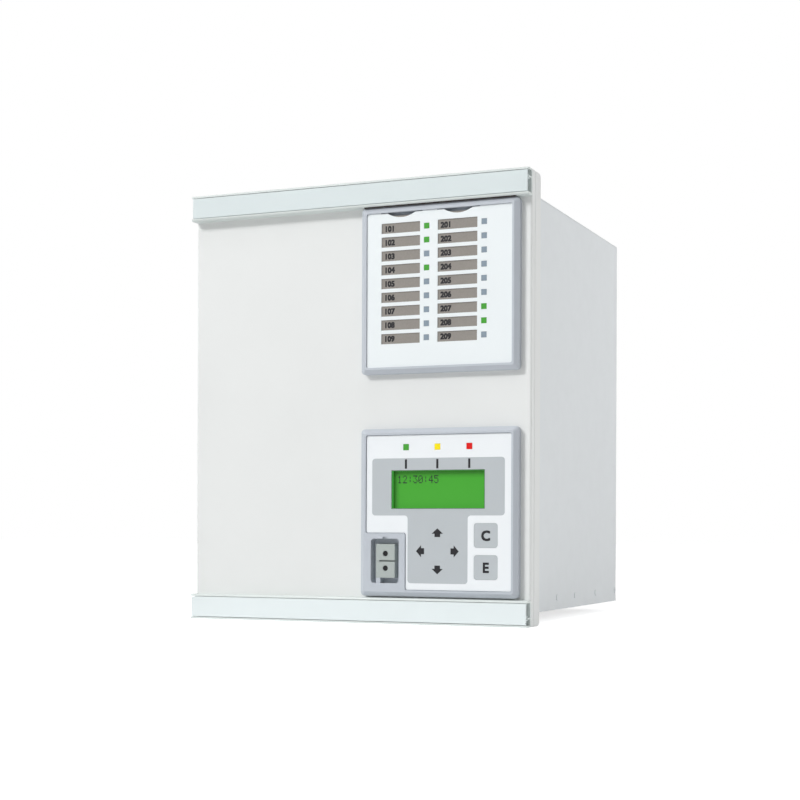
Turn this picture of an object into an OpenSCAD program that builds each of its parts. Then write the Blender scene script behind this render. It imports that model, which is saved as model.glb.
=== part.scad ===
// Line protection relay in a half-width, six-unit sheet steel case.
// Seen from the front, +X is right and +Z is up; +Y runs to the rear.
// The origin is the middle of the footprint, at the lower edge of the front.

/* [Front] */
// Width of the front
front_w = 223.7; // [215:0.1:250]
// Height of the front
front_h = 265.9; // [260:0.1:300]
// Depth from the panel face to the seat on the cubicle panel
flange_d = 15.5; // [13:0.5:20]
// Thickness of the front plate
plate_t = 2.0; // [1.5:0.1:2.5]
// Depth of the folded rim of the front plate
rim_d = 5.0; // [4:0.1:6]
// Radius of the front plate's side bends
plate_r = 1.5; // [0.5:0.1:2]
// Open joint between the front plate and the mounting frame
seam = 0.5; // [0.2:0.1:1]
// Wall of the mounting frame
frame_t = 2.0; // [1.5:0.1:2.5]
// Radius of the mounting frame's rear edge at top and bottom
frame_r = 3.0; // [1:0.5:4]

/* [Rails] */
// Height of a rail
rail_h = 15.6; // [15:0.1:18]
// How far a rail stands out from the panel face
rail_proud = 7.0; // [7:0.1:9]
// Back wall of a rail
rail_back_t = 1.6; // [1.2:0.1:2]
// Lip of a rail along the edge of the front
rail_outer_t = 1.2; // [0.8:0.1:1.5]
// Lip of a rail towards the panel
rail_inner_t = 1.4; // [1.2:0.1:1.8]
// Radius on the inner lip of a rail
rail_inner_r = 1.1; // [0.5:0.1:1.2]
// Height of the rib in the middle of a rail above its outer edge
rib_z = 4.8; // [4.2:0.1:5.2]
// Thickness of that rib
rib_t = 1.0; // [0.8:0.1:1.2]
// Thickness of a label strip
strip_t = 1.2; // [1:0.1:1.5]
// Open line between a label strip and the lips
strip_gap = 0.3; // [0.2:0.05:0.5]
// How far a label strip stops short of each end of its rail
strip_end_gap = 0.8; // [0.4:0.1:2]
// Thickness and length of the two legs on the back of a label strip
strip_leg = [0.8, 2.2];

/* [Case] */
// How far the case is set in from each side of the front
case_inset_x = 9.0; // [8:0.5:12]
// How far the case is set in from the top and bottom of the front
case_inset_z = 6.5; // [6:0.5:8]
// Depth of the case behind the seat
case_d = 204.1; // [200:0.1:260]
// Thickness of the case sheet
sheet = 1.5; // [1:0.1:2]
// Outer radius of the case's bends
bend_r = 2.5; // [1.5:0.1:3]
// Width of the lip folded inwards at the rear
rear_lip = 9.0; // [8:0.5:10]
// Height of the side flanges of the bottom plate
bottom_flange_h = 14.0; // [12:0.5:16]
// Height of the rivets above the lower edge of the case
rivet_z = 7.6; // [6:0.1:9]
// Shank radius, head radius and head height of a rivet
rivet = [1.2, 2.0, 0.4];
// Length and width of a vent slot
vent = [46, 4.0];
// Number of vent slots in a row
vent_n = 11; // [6:1:12]

/* [Rack holes] */
// Radius of the tapped holes in the sides
rack_hole_r = 1.65; // [1.5:0.05:2.1]
// Distance of the first holes behind the seat
rack_hole_y = 8.0; // [7:0.5:10]
// Hole spacing along the depth
rack_pitch_y = 12.0; // [10:0.5:14]
// Hole spacing along the height
rack_pitch_z = 150.0; // [100:5:180]

/* [Front modules] */
// Side of the square bezel of both front modules
module_w = 100.2; // [98:0.1:101]
// Distance of both bezels from the right edge of the front
module_margin = 6.5; // [6:0.1:7]
// Gap between the upper rail and the indicator bezel
led_gap = 0.4; // [0.3:0.1:3]
// Gap between the lower rail and the operator bezel
panel_gap = 1.0; // [0.3:0.1:3]
// How far a bezel stands out from the panel face
bezel_proud = 6.0; // [5.3:0.1:6.6]
// Width of a bezel around its foil
bezel_border = 3.8; // [3.5:0.1:4.2]
// Corner radius of a bezel
bezel_r = 2.3; // [1.8:0.1:4]
// Width and depth of the bevel around a bezel
bezel_bevel = [2.6, 2.0];
// Depth of the upright rim between the face of a bezel and its bevel
bezel_rim = 0.3; // [0.2:0.1:0.5]
// How far a foil lies below the face of its bezel
foil_recess = 0.8; // [0.3:0.05:1]
// Open line around the operator foil
foil_play = 0.3; // [0.1:0.05:0.4]
// Thickness of a foil
foil_t = 0.5; // [0.4:0.05:0.6]
// Corner radius of a foil
foil_r = 1.2; // [0.8:0.1:2]
// Thickness of the bezel floor under the foil
floor_t = 2.0; // [1.8:0.1:2.2]
// How far the box behind a bezel is set in from the bezel's edge
box_inset = 5.0; // [4.6:0.1:5.4]
// Wall of that box
box_t = 1.6; // [1.2:0.1:2]
// Depth of that box behind the panel face
box_d = 9.5; // [9:0.5:11]
// Clear depth between the bezel floor and the circuit board
board_space = 6.0; // [5.9:0.1:6.4]
// Thickness of every circuit board
board_t = 1.6; // [1.2:0.1:2]

/* [Indicators] */
// Rows of indicators
led_rows = 9; // [6:1:9]
// Row pitch
led_pitch_z = 8.27; // [7.5:0.01:8.3]
// Column pitch
led_pitch_x = 36.3; // [36:0.1:38]
// Width and height of a label window
window = [25.0, 6.1];
// Place of the lowest left label window from the foil's lower left corner
window_at = [9.5, 14.0];
// Side of an indicator light
led_side = 3.3; // [3:0.1:3.8]
// Gap between a label window and its light
led_side_gap = 2.6; // [2.4:0.1:2.8]
// Thickness of a label card
card_t = 0.4; // [0.3:0.05:0.5]
// How far a label card reaches past its windows at left, right and bottom
card_over = [0.6, 1.6, 2.0];
// How far a label card ends below the edge of its pocket
card_drop = 2.0; // [1:0.05:2.5]
// Open line above the indicator foil where a label card goes in
card_slot = 0.45; // [0.3:0.05:0.6]
// Wall left behind that slot
card_slot_wall = 1.0; // [0.8:0.1:2]
// Radius and depth of the thumb notch above a label card
notch = [16.6, 3.1];
// Lights of the left column from the top, with o for a lit one
lit_left = "oo-o-----";
// Lights of the right column from the top, with o for a lit one
lit_right = "------oo-";

/* [Operator panel] */
// Place of the first status light's centre from the foil's lower left corner
status_at = [26.0, 85.2];
// Pitch of the status lights
status_pitch = 20.15; // [18:0.05:21]
// Side of a status light
status_side = 3.6; // [3:0.1:4.4]
// Lower left corner of the grey field's upper part, from the foil's corner
field_at = [4.0, 44.5];
// Width and height of that part
field = [84.4, 34.1];
// Width of the field's stem
stem_w = 38.2; // [36:0.1:40]
// Height of the stem's foot above the foil's lower edge
stem_foot = 4.2; // [3:0.1:5]
// Corner radius of the grey field
field_r = 2.0; // [1:0.1:2.5]
// Thickness of the printed field
print_t = 0.05; // [0.02:0.01:0.08]
// Width and height of the display window
display = [58.9, 22.4];
// Height of the display window above the foil's lower edge
display_z = 48.75; // [48:0.05:49.5]
// Size of the display glass past its window on every side
glass_over = 2.6; // [2:0.1:3]
// Thickness of the display glass
glass_t = 2.0; // [1.5:0.1:2.5]
// Rim of the display frame around the glass
display_rim = 2.4; // [2:0.1:2.8]

/* [Keys] */
// Width and height of the two large keys
big_key = [14.6, 14.4];
// Centre of the upper large key from the foil's lower left corner
big_key_at = [76.7, 32.8];
// Pitch of the large keys
big_key_pitch = 18.7; // [17:0.1:19.5]
// Side of the four arrow keys
arrow_key = 9.4; // [8:0.1:9.6]
// Distance of an arrow key from the middle of the four
arrow_pitch = 11.0; // [10.8:0.1:11.4]
// Height of the middle of the arrow keys above the foil's lower edge
arrow_z = 23.3; // [22.8:0.1:23.8]
// Corner radius of a key
key_r = 1.8; // [1:0.1:2]
// Clearance around a key in the foil and bezel
key_fit = 0.1; // [0.08:0.01:0.15]
// Travel of a key
key_travel = 0.5; // [0.3:0.05:0.6]
// Width and thickness of the flange that holds a key behind the bezel floor
key_flange = [0.8, 0.8];
// Gap between that flange and the bezel floor
key_flange_gap = 0.05; // [0.03:0.01:0.1]
// Radius of a key's stem
key_stem_r = 1.6; // [1.2:0.1:1.8]
// Clearance around the stem in its switch
key_stem_fit = 0.15; // [0.1:0.01:0.2]
// Side and height of a key switch
switch = [6.2, 3.2];
// How deep a stem reaches into its switch at rest
stem_in = 0.8; // [0.6:0.05:1]
// Room left under a stem when its key is pressed home
stem_end_gap = 0.5; // [0.3:0.05:0.6]

/* [Optical port] */
// Width and height of the corner pad that carries the port
port_pad = [25.7, 33.9];
// Lower left corner of the port's well from the foil's lower left corner
port_at = [3.5, 4.0];
// Width and height of the port's well
port_well = [18.3, 26.6];
// Depth of the port's well
port_d = 6.0; // [5.6:0.1:6.2]
// Corner radius of the port's well
port_r = 2.0; // [1:0.1:3]
// Wall around the port's well and thickness of its floor
port_wall = 1.2; // [1:0.1:1.4]
// Width, height and depth of the notch above the well
port_notch = [2.7, 1.1, 1.2];
// Width and height of the optical block
block = [12.2, 20.2];
// How far the optical block stands out from the well's floor
block_proud = 5.0; // [4.4:0.1:5.2]
// Width of the step between that block and the lower wall of the well
port_step = 2.8; // [1.5:0.1:3.5]
// Radius of the two optical diodes
diode_r = 1.6; // [1.2:0.1:1.8]
// Distance of each diode from the middle of the block
diode_offset = 4.4; // [4:0.1:5]
// How far a diode lies below the face of the block
diode_recess = 0.6; // [0.3:0.1:1]
// Width and depth of the groove between the diodes
block_groove = [1.0, 1.6];
// Distance of that groove's end from the block's left edge
groove_start = 2.2; // [1:0.1:3]

/* [Cards] */
// Height of a plug-in card's edge above the inside of the case
card_seat = 8.275; // [8.2:0.005:9.8]
// Depth behind the seat that is kept free of plug-in cards
card_room = 44.1; // [42:0.1:70]
// Height and depth of a card guide
guide = [10.0, 12.0];
// Clearance of a card in its guide
guide_fit = 0.2; // [0.1:0.05:0.3]
// Distance of the guides from the front and rear edge of the cards
guide_inset = 20.0; // [12:1:30]
// Thickness of the backplane
backplane_t = 2.4; // [1.6:0.1:3]
// Width, depth and height of a card socket
socket = [11.0, 10.0, 94.0];
// Width and thickness of the backplane brackets
bracket = [12.0, 1.5];
// Distance of a card from the left edge of its slot
card_offset = 8.5; // [8:0.1:9]

/* [Rear] */
// Thickness of the rear plates
cover_t = 1.5; // [1:0.1:2]
// How far the rear plates stop short of the case's edge
cover_margin = 1.0; // [0.5:0.1:2]
// Joint between two rear plates
cover_gap = 0.3; // [0.2:0.05:0.5]
// Width, depth and height of a header
header = [12.0, 12.0, 92.0];
// Distance of the headers from the middle of the case's height
header_z = 54.0; // [50:1:60]
// Width, depth and height of a wiring plug
plug = [15.0, 13.5, 94.0];
// Poles of a wiring plug
plug_poles = 18; // [10:1:18]
// Pole pitch
pole_pitch = 5.08; // [5:0.01:5.1]
// Side and depth of a wire entry
wire_hole = [3.2, 6.0];
// Radius and height of a plug screw
plug_screw = [1.5, 0.4];
// Distance of wire entries and screws from the middle of the plug
pole_offset = 3.2; // [3:0.1:3.6]
// Width and depth of the screw terminal block
terminal = [34.0, 10.0];
// Terminals in the block
terminal_n = 12; // [8:1:12]
// Terminal pitch
terminal_pitch = 16.5; // [14:0.1:17]
// Thickness and height of a barrier between two terminals
barrier = [1.8, 3.0];
// Radius and height of a terminal screw's head
terminal_screw = [4.2, 2.6];
// Side and thickness of a terminal plate
terminal_plate = [11.0, 1.0];
// Radius of a fibre connector
fibre_r = 4.0; // [3:0.1:4.5]
// Side and thickness of a fibre connector's collar
fibre_collar = [12.0, 4.0];
// Length of a fibre connector behind and in front of its collar
fibre_len = [8.0, 6.0];
// Pitch of the fibre connectors
fibre_pitch = 22.0; // [18:1:26]
// Gap between a card and the fibre connectors
fibre_gap = 0.2; // [0.15:0.05:1]

/* [Earth stud] */
// Radius of the earth stud's free end
stud_r = 2.5; // [2:0.1:3]
// How much larger the stud's radius is where the nut sits
stud_root_over = 0.5; // [0.4:0.05:0.6]
// How far that root stands out of the nut
stud_root_proud = 0.5; // [0.3:0.1:1]
// Length of the earth stud behind its plate
stud_len = 13.5; // [11:0.5:13.5]
// Height of the earth stud above the case's lower edge
stud_z = 16.0; // [15:0.5:17]
// Radius and thickness of the washer
washer = [5.0, 1.0];
// Radius across corners and thickness of the nut
nut = [4.6, 4.0];

/* [Hidden] */

$fn = 32;
// Steps of a small rounded corner
arc_steps = 6;
// How far a cut runs past the face that it opens
over = 1.0;
// Play between two fixed pieces that slide together
fit = 0.1;
// Play of a small screw in its thread
thread_fit = 0.05;

// Planes from the front to the rear
total_d = rail_proud + flange_d + case_d + cover_t + plug[1];
y_front = -total_d / 2;
y_panel = y_front + rail_proud;
y_plate = y_panel + plate_t;
y_rim = y_panel + rim_d;
y_frame = y_rim + seam;
y_seat = y_panel + flange_d;
y_case = y_seat - frame_t;
y_rear = y_seat + case_d;
y_cover = y_rear + cover_t;
y_back = y_cover + plug[1];

// Planes of the front modules
y_bezel = y_panel - bezel_proud;
y_foil = y_bezel + foil_recess;
y_floor = y_foil + foil_t;
y_floor_back = y_floor + floor_t;
y_board = y_floor_back + board_space;
y_board_back = y_board + board_t;
y_box = y_panel + box_d;
y_block = y_bezel + port_d - block_proud;

// Edges of the case
case_x = front_w / 2 - case_inset_x;
case_z0 = case_inset_z;
case_z1 = front_h - case_inset_z;
case_h = case_z1 - case_z0;
mid_z = front_h / 2;

// Edges of the front modules and their foils
module_x1 = front_w / 2 - module_margin;
module_x0 = module_x1 - module_w;
led_z0 = front_h - rail_h - led_gap - module_w;
panel_z0 = rail_h + panel_gap;
foil_w = module_w - 2 * bezel_border;
foil_x = module_x0 + bezel_border;
led_foil_z = led_z0 + bezel_border;
panel_foil_z = panel_z0 + bezel_border;

// Screws through the rails: radius, head radius, head height, length
rail_screw = [1.5, 2.7, 2.0, 9.0];
rail_screw_z = (rib_z + rib_t + strip_leg[0] + rail_h - rail_inner_t) / 2;
rail_screw_share = 0.86;
rail_screws_x = [-rail_screw_share * front_w / 2, 0, rail_screw_share * front_w / 2];
screw_boss = 10.0;

// Small screws of the bezels and boards: radius, head radius, head height, length
bezel_screw = [1.2, 2.2, 1.4, 4.5];
board_screw = [1.2, 2.2, 1.4, 3.2];
bezel_screw_inset = box_inset / 2;
post_r = 2.6;
post_inset = box_inset + box_t + post_r;
hole_play = 0.3;

// Thickness of a chip that lights a guide
chip_t = 1.0;

// Rear screws: radius, head radius, head height, length
rear_screw = [1.5, 2.8, 1.8, 4.0];
socket_key_share = 0.45;
socket_depth_share = 0.6;

// Rivets along the lower edge, as shares of the case depth from the rear
rivet_shares = [0.025, 0.265, 0.5, 0.69];

// Slots of the rear from -X to +X: power, three input and output, processor, transformer
slot_shares = [0.14, 0.14, 0.14, 0.14, 0.14, 0.30];
slot_power = 0;
slot_transformer = len(slot_shares) - 1;
slot_processor = slot_transformer - 1;
slot_io = [for (i = [slot_power + 1:slot_processor - 1]) i];
cover_w = 2 * (case_x - cover_margin);
header_slots = concat([slot_power], slot_io);

// Plug-in cards
card_d = case_d - card_room;
card_h = case_h - 2 * (sheet + card_seat);
y_card = y_rear - card_d;
card_z0 = case_z0 + sheet + card_seat;
y_socket = y_card - fit - socket[1];
y_backplane = y_socket - backplane_t;
converter_offset = 44.0;
cards_x = concat([for (i = [0:slot_processor]) slot_x(i) + card_offset],
    [slot_x(slot_transformer) + card_offset, slot_x(slot_transformer) + converter_offset]);

// Parts on the cards, each with width, depth and height
transformer = [32.0, 42.0, 36.0];
transformer_n = 5;
transformer_pitch = 44.0;
coil_share = 0.72;
relay = [15.0, 28.0, 13.0];
relay_n = 6;
relay_pitch = 34.0;
chip = [3.0, 28.0, 28.0];
chip_pitch = 48.0;
chip_n = 4;
heat_sink = [18.0, 60.0, 110.0];
fin_n = 6;
fin_share = 0.5;
capacitor = [11.0, 20.0];
capacitor_pitch = 26.0;

// Ribbon between the operator board and the backplane
ribbon = [26.0, 1.0];
ribbon_leg = 6.0;
ribbon_plug = [30.0, 6.0, 9.0];
ribbon_z = panel_z0 + module_w / 2;

// Colours
paint = "#e9ebe6";
anodised = "#dfe6e5";
zinc = "#cfd3d3";
moulding = "#b9c0c7";
foil_white = "#eef3f5";
print_grey = "#bfc4c7";
laminate = "#2f6f4a";
black = "#2a2b2c";

function sum_to(v, n) = n < 1 ? 0 : v[n - 1] + sum_to(v, n - 1);
function slot_x(i) = -cover_w / 2 + cover_w * sum_to(slot_shares, i);
function slot_mid(i) = (slot_x(i) + slot_x(i + 1)) / 2;
function header_x(i) = slot_x(i) + card_offset + board_t + header[0] / 2;

// Points of a quarter turn around c, from angle a
function arc_points(c, r, a) = r == 0 ? [c]
    : [for (i = [0:arc_steps]) c + r * [cos(a + 90 * i / arc_steps), sin(a + 90 * i / arc_steps)]];

// Rectangle with its own radius at each corner, from the low corner round to the left
function rect_points(lo, hi, r) = concat(
    arc_points([lo[0] + r[0], lo[1] + r[0]], r[0], 180),
    arc_points([hi[0] - r[1], lo[1] + r[1]], r[1], 270),
    arc_points([hi[0] - r[2], hi[1] - r[2]], r[2], 0),
    arc_points([lo[0] + r[3], hi[1] - r[3]], r[3], 90));

module rect(lo, hi, r = 0) polygon(rect_points(lo, hi, [r, r, r, r]));

// Box between two corners
module span(lo, hi) translate(lo) cube(hi - lo);

// Outline drawn in X and Z, from one depth to another
module slab(front, back) translate([0, back, 0]) rotate([90, 0, 0]) linear_extrude(back - front) children();

// Outline drawn in Y and Z, over the width from x0 to x1
module bar(x0, x1) translate([x0, 0, 0]) rotate([90, 0, 90]) linear_extrude(x1 - x0) children();

// Round rod along the depth
module rod(at, front, back, r)
    translate([at[0], back, at[1]]) rotate([90, 0, 0]) cylinder(r = r, h = back - front);

// Round rod along the width
module cross_rod(x0, x1, y, z, r) translate([x0, y, z]) rotate([0, 90, 0]) cylinder(r = r, h = x1 - x0);

// Both sides of the case
module both_sides() {
    children();
    mirror([1, 0, 0]) children();
}

// The lower shape and its mirror image at the top of the front
module at_top() translate([0, 0, front_h]) mirror([0, 0, 1]) children();

// Screw along the depth with its head at the front, seated at y, with a socket in the head
module screw_in(at, y, s) difference() {
    union() {
        rod(at, y - s[2], y, s[1]);
        rod(at, y - s[2] / 2, y + s[3], s[0]);
    }
    screw_socket(at, y - s[2], y - s[2] * (1 - socket_depth_share), s);
}

// Screw along the depth with its head at the rear, seated at y
module screw_out(at, y, s) difference() {
    union() {
        rod(at, y, y + s[2], s[1]);
        rod(at, y - s[3], y + s[2] / 2, s[0]);
    }
    screw_socket(at, y + s[2] * (1 - socket_depth_share), y + s[2], s);
}

module screw_socket(at, front, back, s) slab(front, back)
    translate(at) circle(r = s[1] * socket_key_share, $fn = 6);

module module_square(z0, inset, r = 0)
    rect([module_x0 + inset, z0 + inset], [module_x1 - inset, z0 + module_w - inset], r);

// Corners of a module at a given inset
function module_corners(z0, inset) = [for (x = [module_x0 + inset, module_x1 - inset])
    for (z = [z0 + inset, z0 + module_w - inset]) [x, z]];

module front_plate() color(paint) difference() {
    intersection() {
        span([-front_w / 2, y_panel, 0], [front_w / 2, y_rim, front_h]);
        linear_extrude(front_h)
            polygon(rect_points([-front_w / 2, y_panel], [front_w / 2, y_rim], [plate_r, plate_r, 0, 0]));
    }
    span([-front_w / 2 + plate_t, y_plate, plate_t],
        [front_w / 2 - plate_t, y_rim + over, front_h - plate_t]);
    slab(y_panel - over, y_plate + over)
        for (z0 = [led_z0, panel_z0]) module_square(z0, box_inset - hole_play);
    for (z0 = [led_z0, panel_z0])
        for (at = module_corners(z0, bezel_screw_inset))
            rod(at, y_panel - over, y_plate + over, bezel_screw[0] + hole_play);
    for (x = rail_screws_x)
        for (z = [rail_screw_z, front_h - rail_screw_z])
            rod([x, z], y_panel - over, y_plate + over, rail_screw[0] + hole_play);
}

module mounting_frame() color(paint) {
    inner = plate_t + fit + frame_t;
    difference() {
        union() {
            bar(-front_w / 2, front_w / 2)
                polygon(rect_points([y_frame, 0], [y_seat, front_h], [0, frame_r, frame_r, 0]));
            slab(y_plate, y_frame + frame_t)
                rect([-front_w / 2 + inner - frame_t, inner - frame_t],
                    [front_w / 2 - inner + frame_t, front_h - inner + frame_t]);
        }
        slab(y_plate - over, y_case)
            rect([-front_w / 2 + inner, inner], [front_w / 2 - inner, front_h - inner]);
        slab(y_frame + frame_t, y_case)
            rect([-front_w / 2 + frame_t, frame_t], [front_w / 2 - frame_t, front_h - frame_t]);
        slab(y_case - over, y_seat + over) polygon(rect_points([-case_x - fit, case_z0 - fit],
            [case_x + fit, case_z1 + fit], [0, 0, bend_r, bend_r]));
    }
    frame_bosses();
    at_top() frame_bosses();
}

// Blocks in the mounting frame that the rail screws turn into
module frame_bosses() for (x = rail_screws_x) difference() {
    span([x - screw_boss / 2, y_plate, frame_t],
        [x + screw_boss / 2, y_case, rail_screw_z + screw_boss / 2]);
    rod([x, rail_screw_z], y_plate - over, y_case + over, rail_screw[0] + thread_fit);
}

// Lower rail, with its outer edge at z = 0
module rail() difference() {
    union() {
        span([-front_w / 2, y_front, 0], [front_w / 2, y_panel, rail_outer_t]);
        span([-front_w / 2, y_panel - rail_back_t, 0], [front_w / 2, y_panel, rail_h]);
        bar(-front_w / 2, front_w / 2) polygon(rect_points([y_front, rail_h - rail_inner_t],
            [y_panel, rail_h], [0, 0, 0, rail_inner_r]));
        span([-front_w / 2, y_front + strip_t + strip_gap, rib_z],
            [front_w / 2, y_panel - rail_back_t, rib_z + rib_t]);
    }
    for (x = rail_screws_x)
        rod([x, rail_screw_z], y_panel - rail_back_t - over, y_panel + over, rail_screw[0] + hole_play);
}

// Strip that clips over the rib of the lower rail
module label_strip() {
    x = front_w / 2 - strip_end_gap;
    span([-x, y_front, rail_outer_t + strip_gap],
        [x, y_front + strip_t, rail_h - rail_inner_t - strip_gap]);
    for (z = [rib_z - fit - strip_leg[0], rib_z + rib_t + fit])
        span([-x, y_front + strip_t, z], [x, y_front + strip_t + strip_leg[1], z + strip_leg[0]]);
}

module bottom_rail() color(anodised) rail();

module top_rail() color(anodised) at_top() rail();

module bottom_label_strip() color(anodised) label_strip();

module top_label_strip() color(anodised) at_top() label_strip();

module rail_screws() color(zinc) for (x = rail_screws_x)
    for (z = [rail_screw_z, front_h - rail_screw_z]) screw_in([x, z], y_panel - rail_back_t, rail_screw);

// Bevelled frame, floor, rear box and screw posts that both front modules share
module bezel_body(z0) {
    difference() {
        union() {
            hull() {
                slab(y_bezel, y_bezel + bezel_rim)
                    module_square(z0, bezel_bevel[0], bezel_r - bezel_bevel[0] / 2);
                slab(y_bezel + bezel_bevel[1], y_panel) module_square(z0, 0, bezel_r);
            }
            slab(y_panel, y_box) module_square(z0, box_inset);
        }
        slab(y_floor_back, y_box + over) module_square(z0, box_inset + box_t);
        for (at = module_corners(z0, bezel_screw_inset))
            rod(at, y_plate - bezel_screw[3] - fit, y_panel + over, bezel_screw[0] + thread_fit);
    }
    for (at = module_corners(z0, post_inset)) difference() {
        rod(at, y_floor_back, y_board, post_r);
        rod(at, y_board_back - board_screw[3] - fit, y_board + over, board_screw[0] + thread_fit);
    }
}

// Places of the label windows and lights: column from the left, row from the top
function window_corner(col, row) = [foil_x + window_at[0] + col * led_pitch_x,
    led_foil_z + window_at[1] + (led_rows - row) * led_pitch_z];
function light_centre(col, row) = window_corner(col, row)
    + [window[0] + led_side_gap + led_side / 2, window[1] / 2];
function card_low(col) = window_corner(col, led_rows) - [card_over[0], card_over[2]];
function card_high(col) = [window_corner(col, 1)[0] + window[0] + card_over[1],
    led_foil_z + foil_w - card_drop];
function notch_centre(col) = [(card_low(col)[0] + card_high(col)[0]) / 2,
    led_foil_z + foil_w + notch[0] - notch[1]];
function is_lit(col, row) = (col == 0 ? lit_left : lit_right)[row - 1] == "o";

module square_at(c, side) translate(c) square(side, center = true);

// Half-moon below the upper edge of the indicator foil
module thumb_notch(col) intersection() {
    translate(notch_centre(col)) circle(r = notch[0]);
    module_square(led_z0, bezel_border);
}

module all_lights(side) for (col = [0, 1]) for (row = [1:led_rows]) square_at(light_centre(col, row), side);

module led_bezel() color(moulding) difference() {
    bezel_body(led_z0);
    slab(y_bezel - over, y_floor) module_square(led_z0, bezel_border, foil_r);
    slab(y_floor - over, y_floor + card_t + fit) for (col = [0, 1])
        rect(card_low(col) - [fit, fit], [card_high(col)[0] + fit, led_foil_z + foil_w]);
    slab(y_floor - over, y_panel - card_slot_wall) for (col = [0, 1])
        rect([card_low(col)[0], card_high(col)[1] + fit], [card_high(col)[0], led_foil_z + foil_w]);
    slab(y_floor - over, y_floor_back + over) all_lights(led_side + 2 * fit);
}

module led_foil() color(foil_white) slab(y_foil, y_floor) difference() {
    module_square(led_z0, bezel_border + fit, foil_r);
    for (col = [0, 1]) {
        thumb_notch(col);
        rect([card_low(col)[0], led_foil_z + foil_w - card_slot],
            [card_high(col)[0], led_foil_z + foil_w + over]);
        for (row = [1:led_rows]) rect(window_corner(col, row), window_corner(col, row) + window);
    }
    all_lights(led_side + 2 * fit);
}

module label_card(col) color("#97938e") slab(y_floor + fit / 2, y_floor + fit / 2 + card_t)
    rect(card_low(col), card_high(col));

module left_label_card() label_card(0);

module right_label_card() label_card(1);

// Guide from a chip on the board to the foil's face
module light_guide(c, side) slab(y_foil, y_board - chip_t - fit) square_at(c, side);

module led_guides(lit) for (col = [0, 1]) for (row = [1:led_rows])
    if (is_lit(col, row) == lit) light_guide(light_centre(col, row), led_side);

module led_guides_lit() color("#54a345") led_guides(true);

module led_guides_unlit() color("#94a2ad") led_guides(false);

// Circuit board of a front module
module module_board(z0) color(laminate) difference() {
    slab(y_board, y_board_back) module_square(z0, box_inset + box_t + fit);
    for (at = module_corners(z0, post_inset))
        rod(at, y_board - over, y_board_back + over, board_screw[0] + fit);
}

module led_board() module_board(led_z0);

module indicator_chips() color(foil_white) slab(y_board - chip_t, y_board) {
    all_lights(led_side);
    for (i = [0:2]) square_at(status_centre(i), status_side);
}

// Places on the operator panel
function status_centre(i) = [foil_x + status_at[0] + i * status_pitch, panel_foil_z + status_at[1]];
pad_centre = [foil_x + foil_w / 2, panel_foil_z + arrow_z];
display_low = [foil_x + (foil_w - display[0]) / 2, panel_foil_z + display_z];
port_low = [foil_x + port_at[0], panel_foil_z + port_at[1]];
port_centre = port_low + port_well / 2;
c_centre = [foil_x + big_key_at[0], panel_foil_z + big_key_at[1]];
e_centre = c_centre - [0, big_key_pitch];
up_centre = pad_centre + [0, arrow_pitch];
down_centre = pad_centre - [0, arrow_pitch];
left_centre = pad_centre - [arrow_pitch, 0];
right_centre = pad_centre + [arrow_pitch, 0];
arrow_centres = [up_centre, down_centre, left_centre, right_centre];
arrow_size = [arrow_key, arrow_key];

module key_outline(c, size, grow) rect(c - size / 2 - [grow, grow], c + size / 2 + [grow, grow], key_r);

module key_holes(grow) {
    for (c = [c_centre, e_centre]) key_outline(c, big_key, grow);
    for (c = arrow_centres) key_outline(c, arrow_size, grow);
}

module status_lights(side) for (i = [0:2]) square_at(status_centre(i), side);

module display_window() rect(display_low, display_low + display);

// Pad of the port, with the rounded corners of the foil beside it
module port_corner(grow) {
    low = [foil_x, panel_foil_z];
    rect(low - [over, over], low + port_pad + [grow, grow], foil_r);
    for (c = [low + [grow, port_pad[1] + grow], low + [port_pad[0] + grow, grow]])
        polygon(concat([c - [over, over], c + [-over, foil_r]],
            arc_points(c + [foil_r, foil_r], foil_r, 180), [c + [foil_r, -over]]));
}

// Outline of the operator foil, set in by a play
module operator_outline(play) difference() {
    module_square(panel_z0, bezel_border + play, foil_r);
    port_corner(play);
}

module port_outline(grow) rect(port_low - [grow, grow], port_low + port_well + [grow, grow], port_r);

// Small notch in the pad above the port's well
module port_notch_outline() translate(port_centre + [0, port_well[1] / 2 + port_notch[1] / 2])
    square([port_notch[0], port_notch[1] + fit], center = true);

module block_outline(grow)
    rect(port_centre - block / 2 - [grow, grow], port_centre + block / 2 + [grow, grow]);

// Step that joins the well's lower wall to the block
module port_step_outline() {
    low = [port_centre[0] - block[0] / 2, port_low[1] - over];
    rect(low, [low[0] + port_step, port_centre[1] - block[1] / 2 - fit]);
}

module operator_bezel() color(moulding) difference() {
    union() {
        bezel_body(panel_z0);
        slab(y_floor, y_bezel + port_d + port_wall) port_outline(port_wall);
    }
    slab(y_bezel - over, y_floor) operator_outline(0);
    slab(y_bezel - over, y_block) port_outline(0);
    slab(y_block - over, y_bezel + port_d) difference() {
        port_outline(0);
        port_step_outline();
    }
    slab(y_bezel - over, y_bezel + port_notch[2]) port_notch_outline();
    slab(y_bezel, y_board) block_outline(fit);
    slab(y_floor - over, y_floor_back + over) {
        display_window();
        key_holes(key_fit);
        status_lights(status_side + 2 * fit);
    }
}

module operator_foil() color(foil_white) slab(y_foil, y_floor) difference() {
    operator_outline(foil_play);
    display_window();
    key_holes(key_fit);
    status_lights(status_side + 2 * fit);
}

// Rounded corner of the grey field beside the top of its stem
module stem_corner(side) translate([pad_centre[0], panel_foil_z + field_at[1]]) mirror([side, 0]) {
    c = [stem_w / 2, 0];
    polygon(concat([c + [-over, over], c + [field_r, over]],
        arc_points(c + [field_r, -field_r], field_r, 90), [c + [-over, -field_r]]));
}

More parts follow.
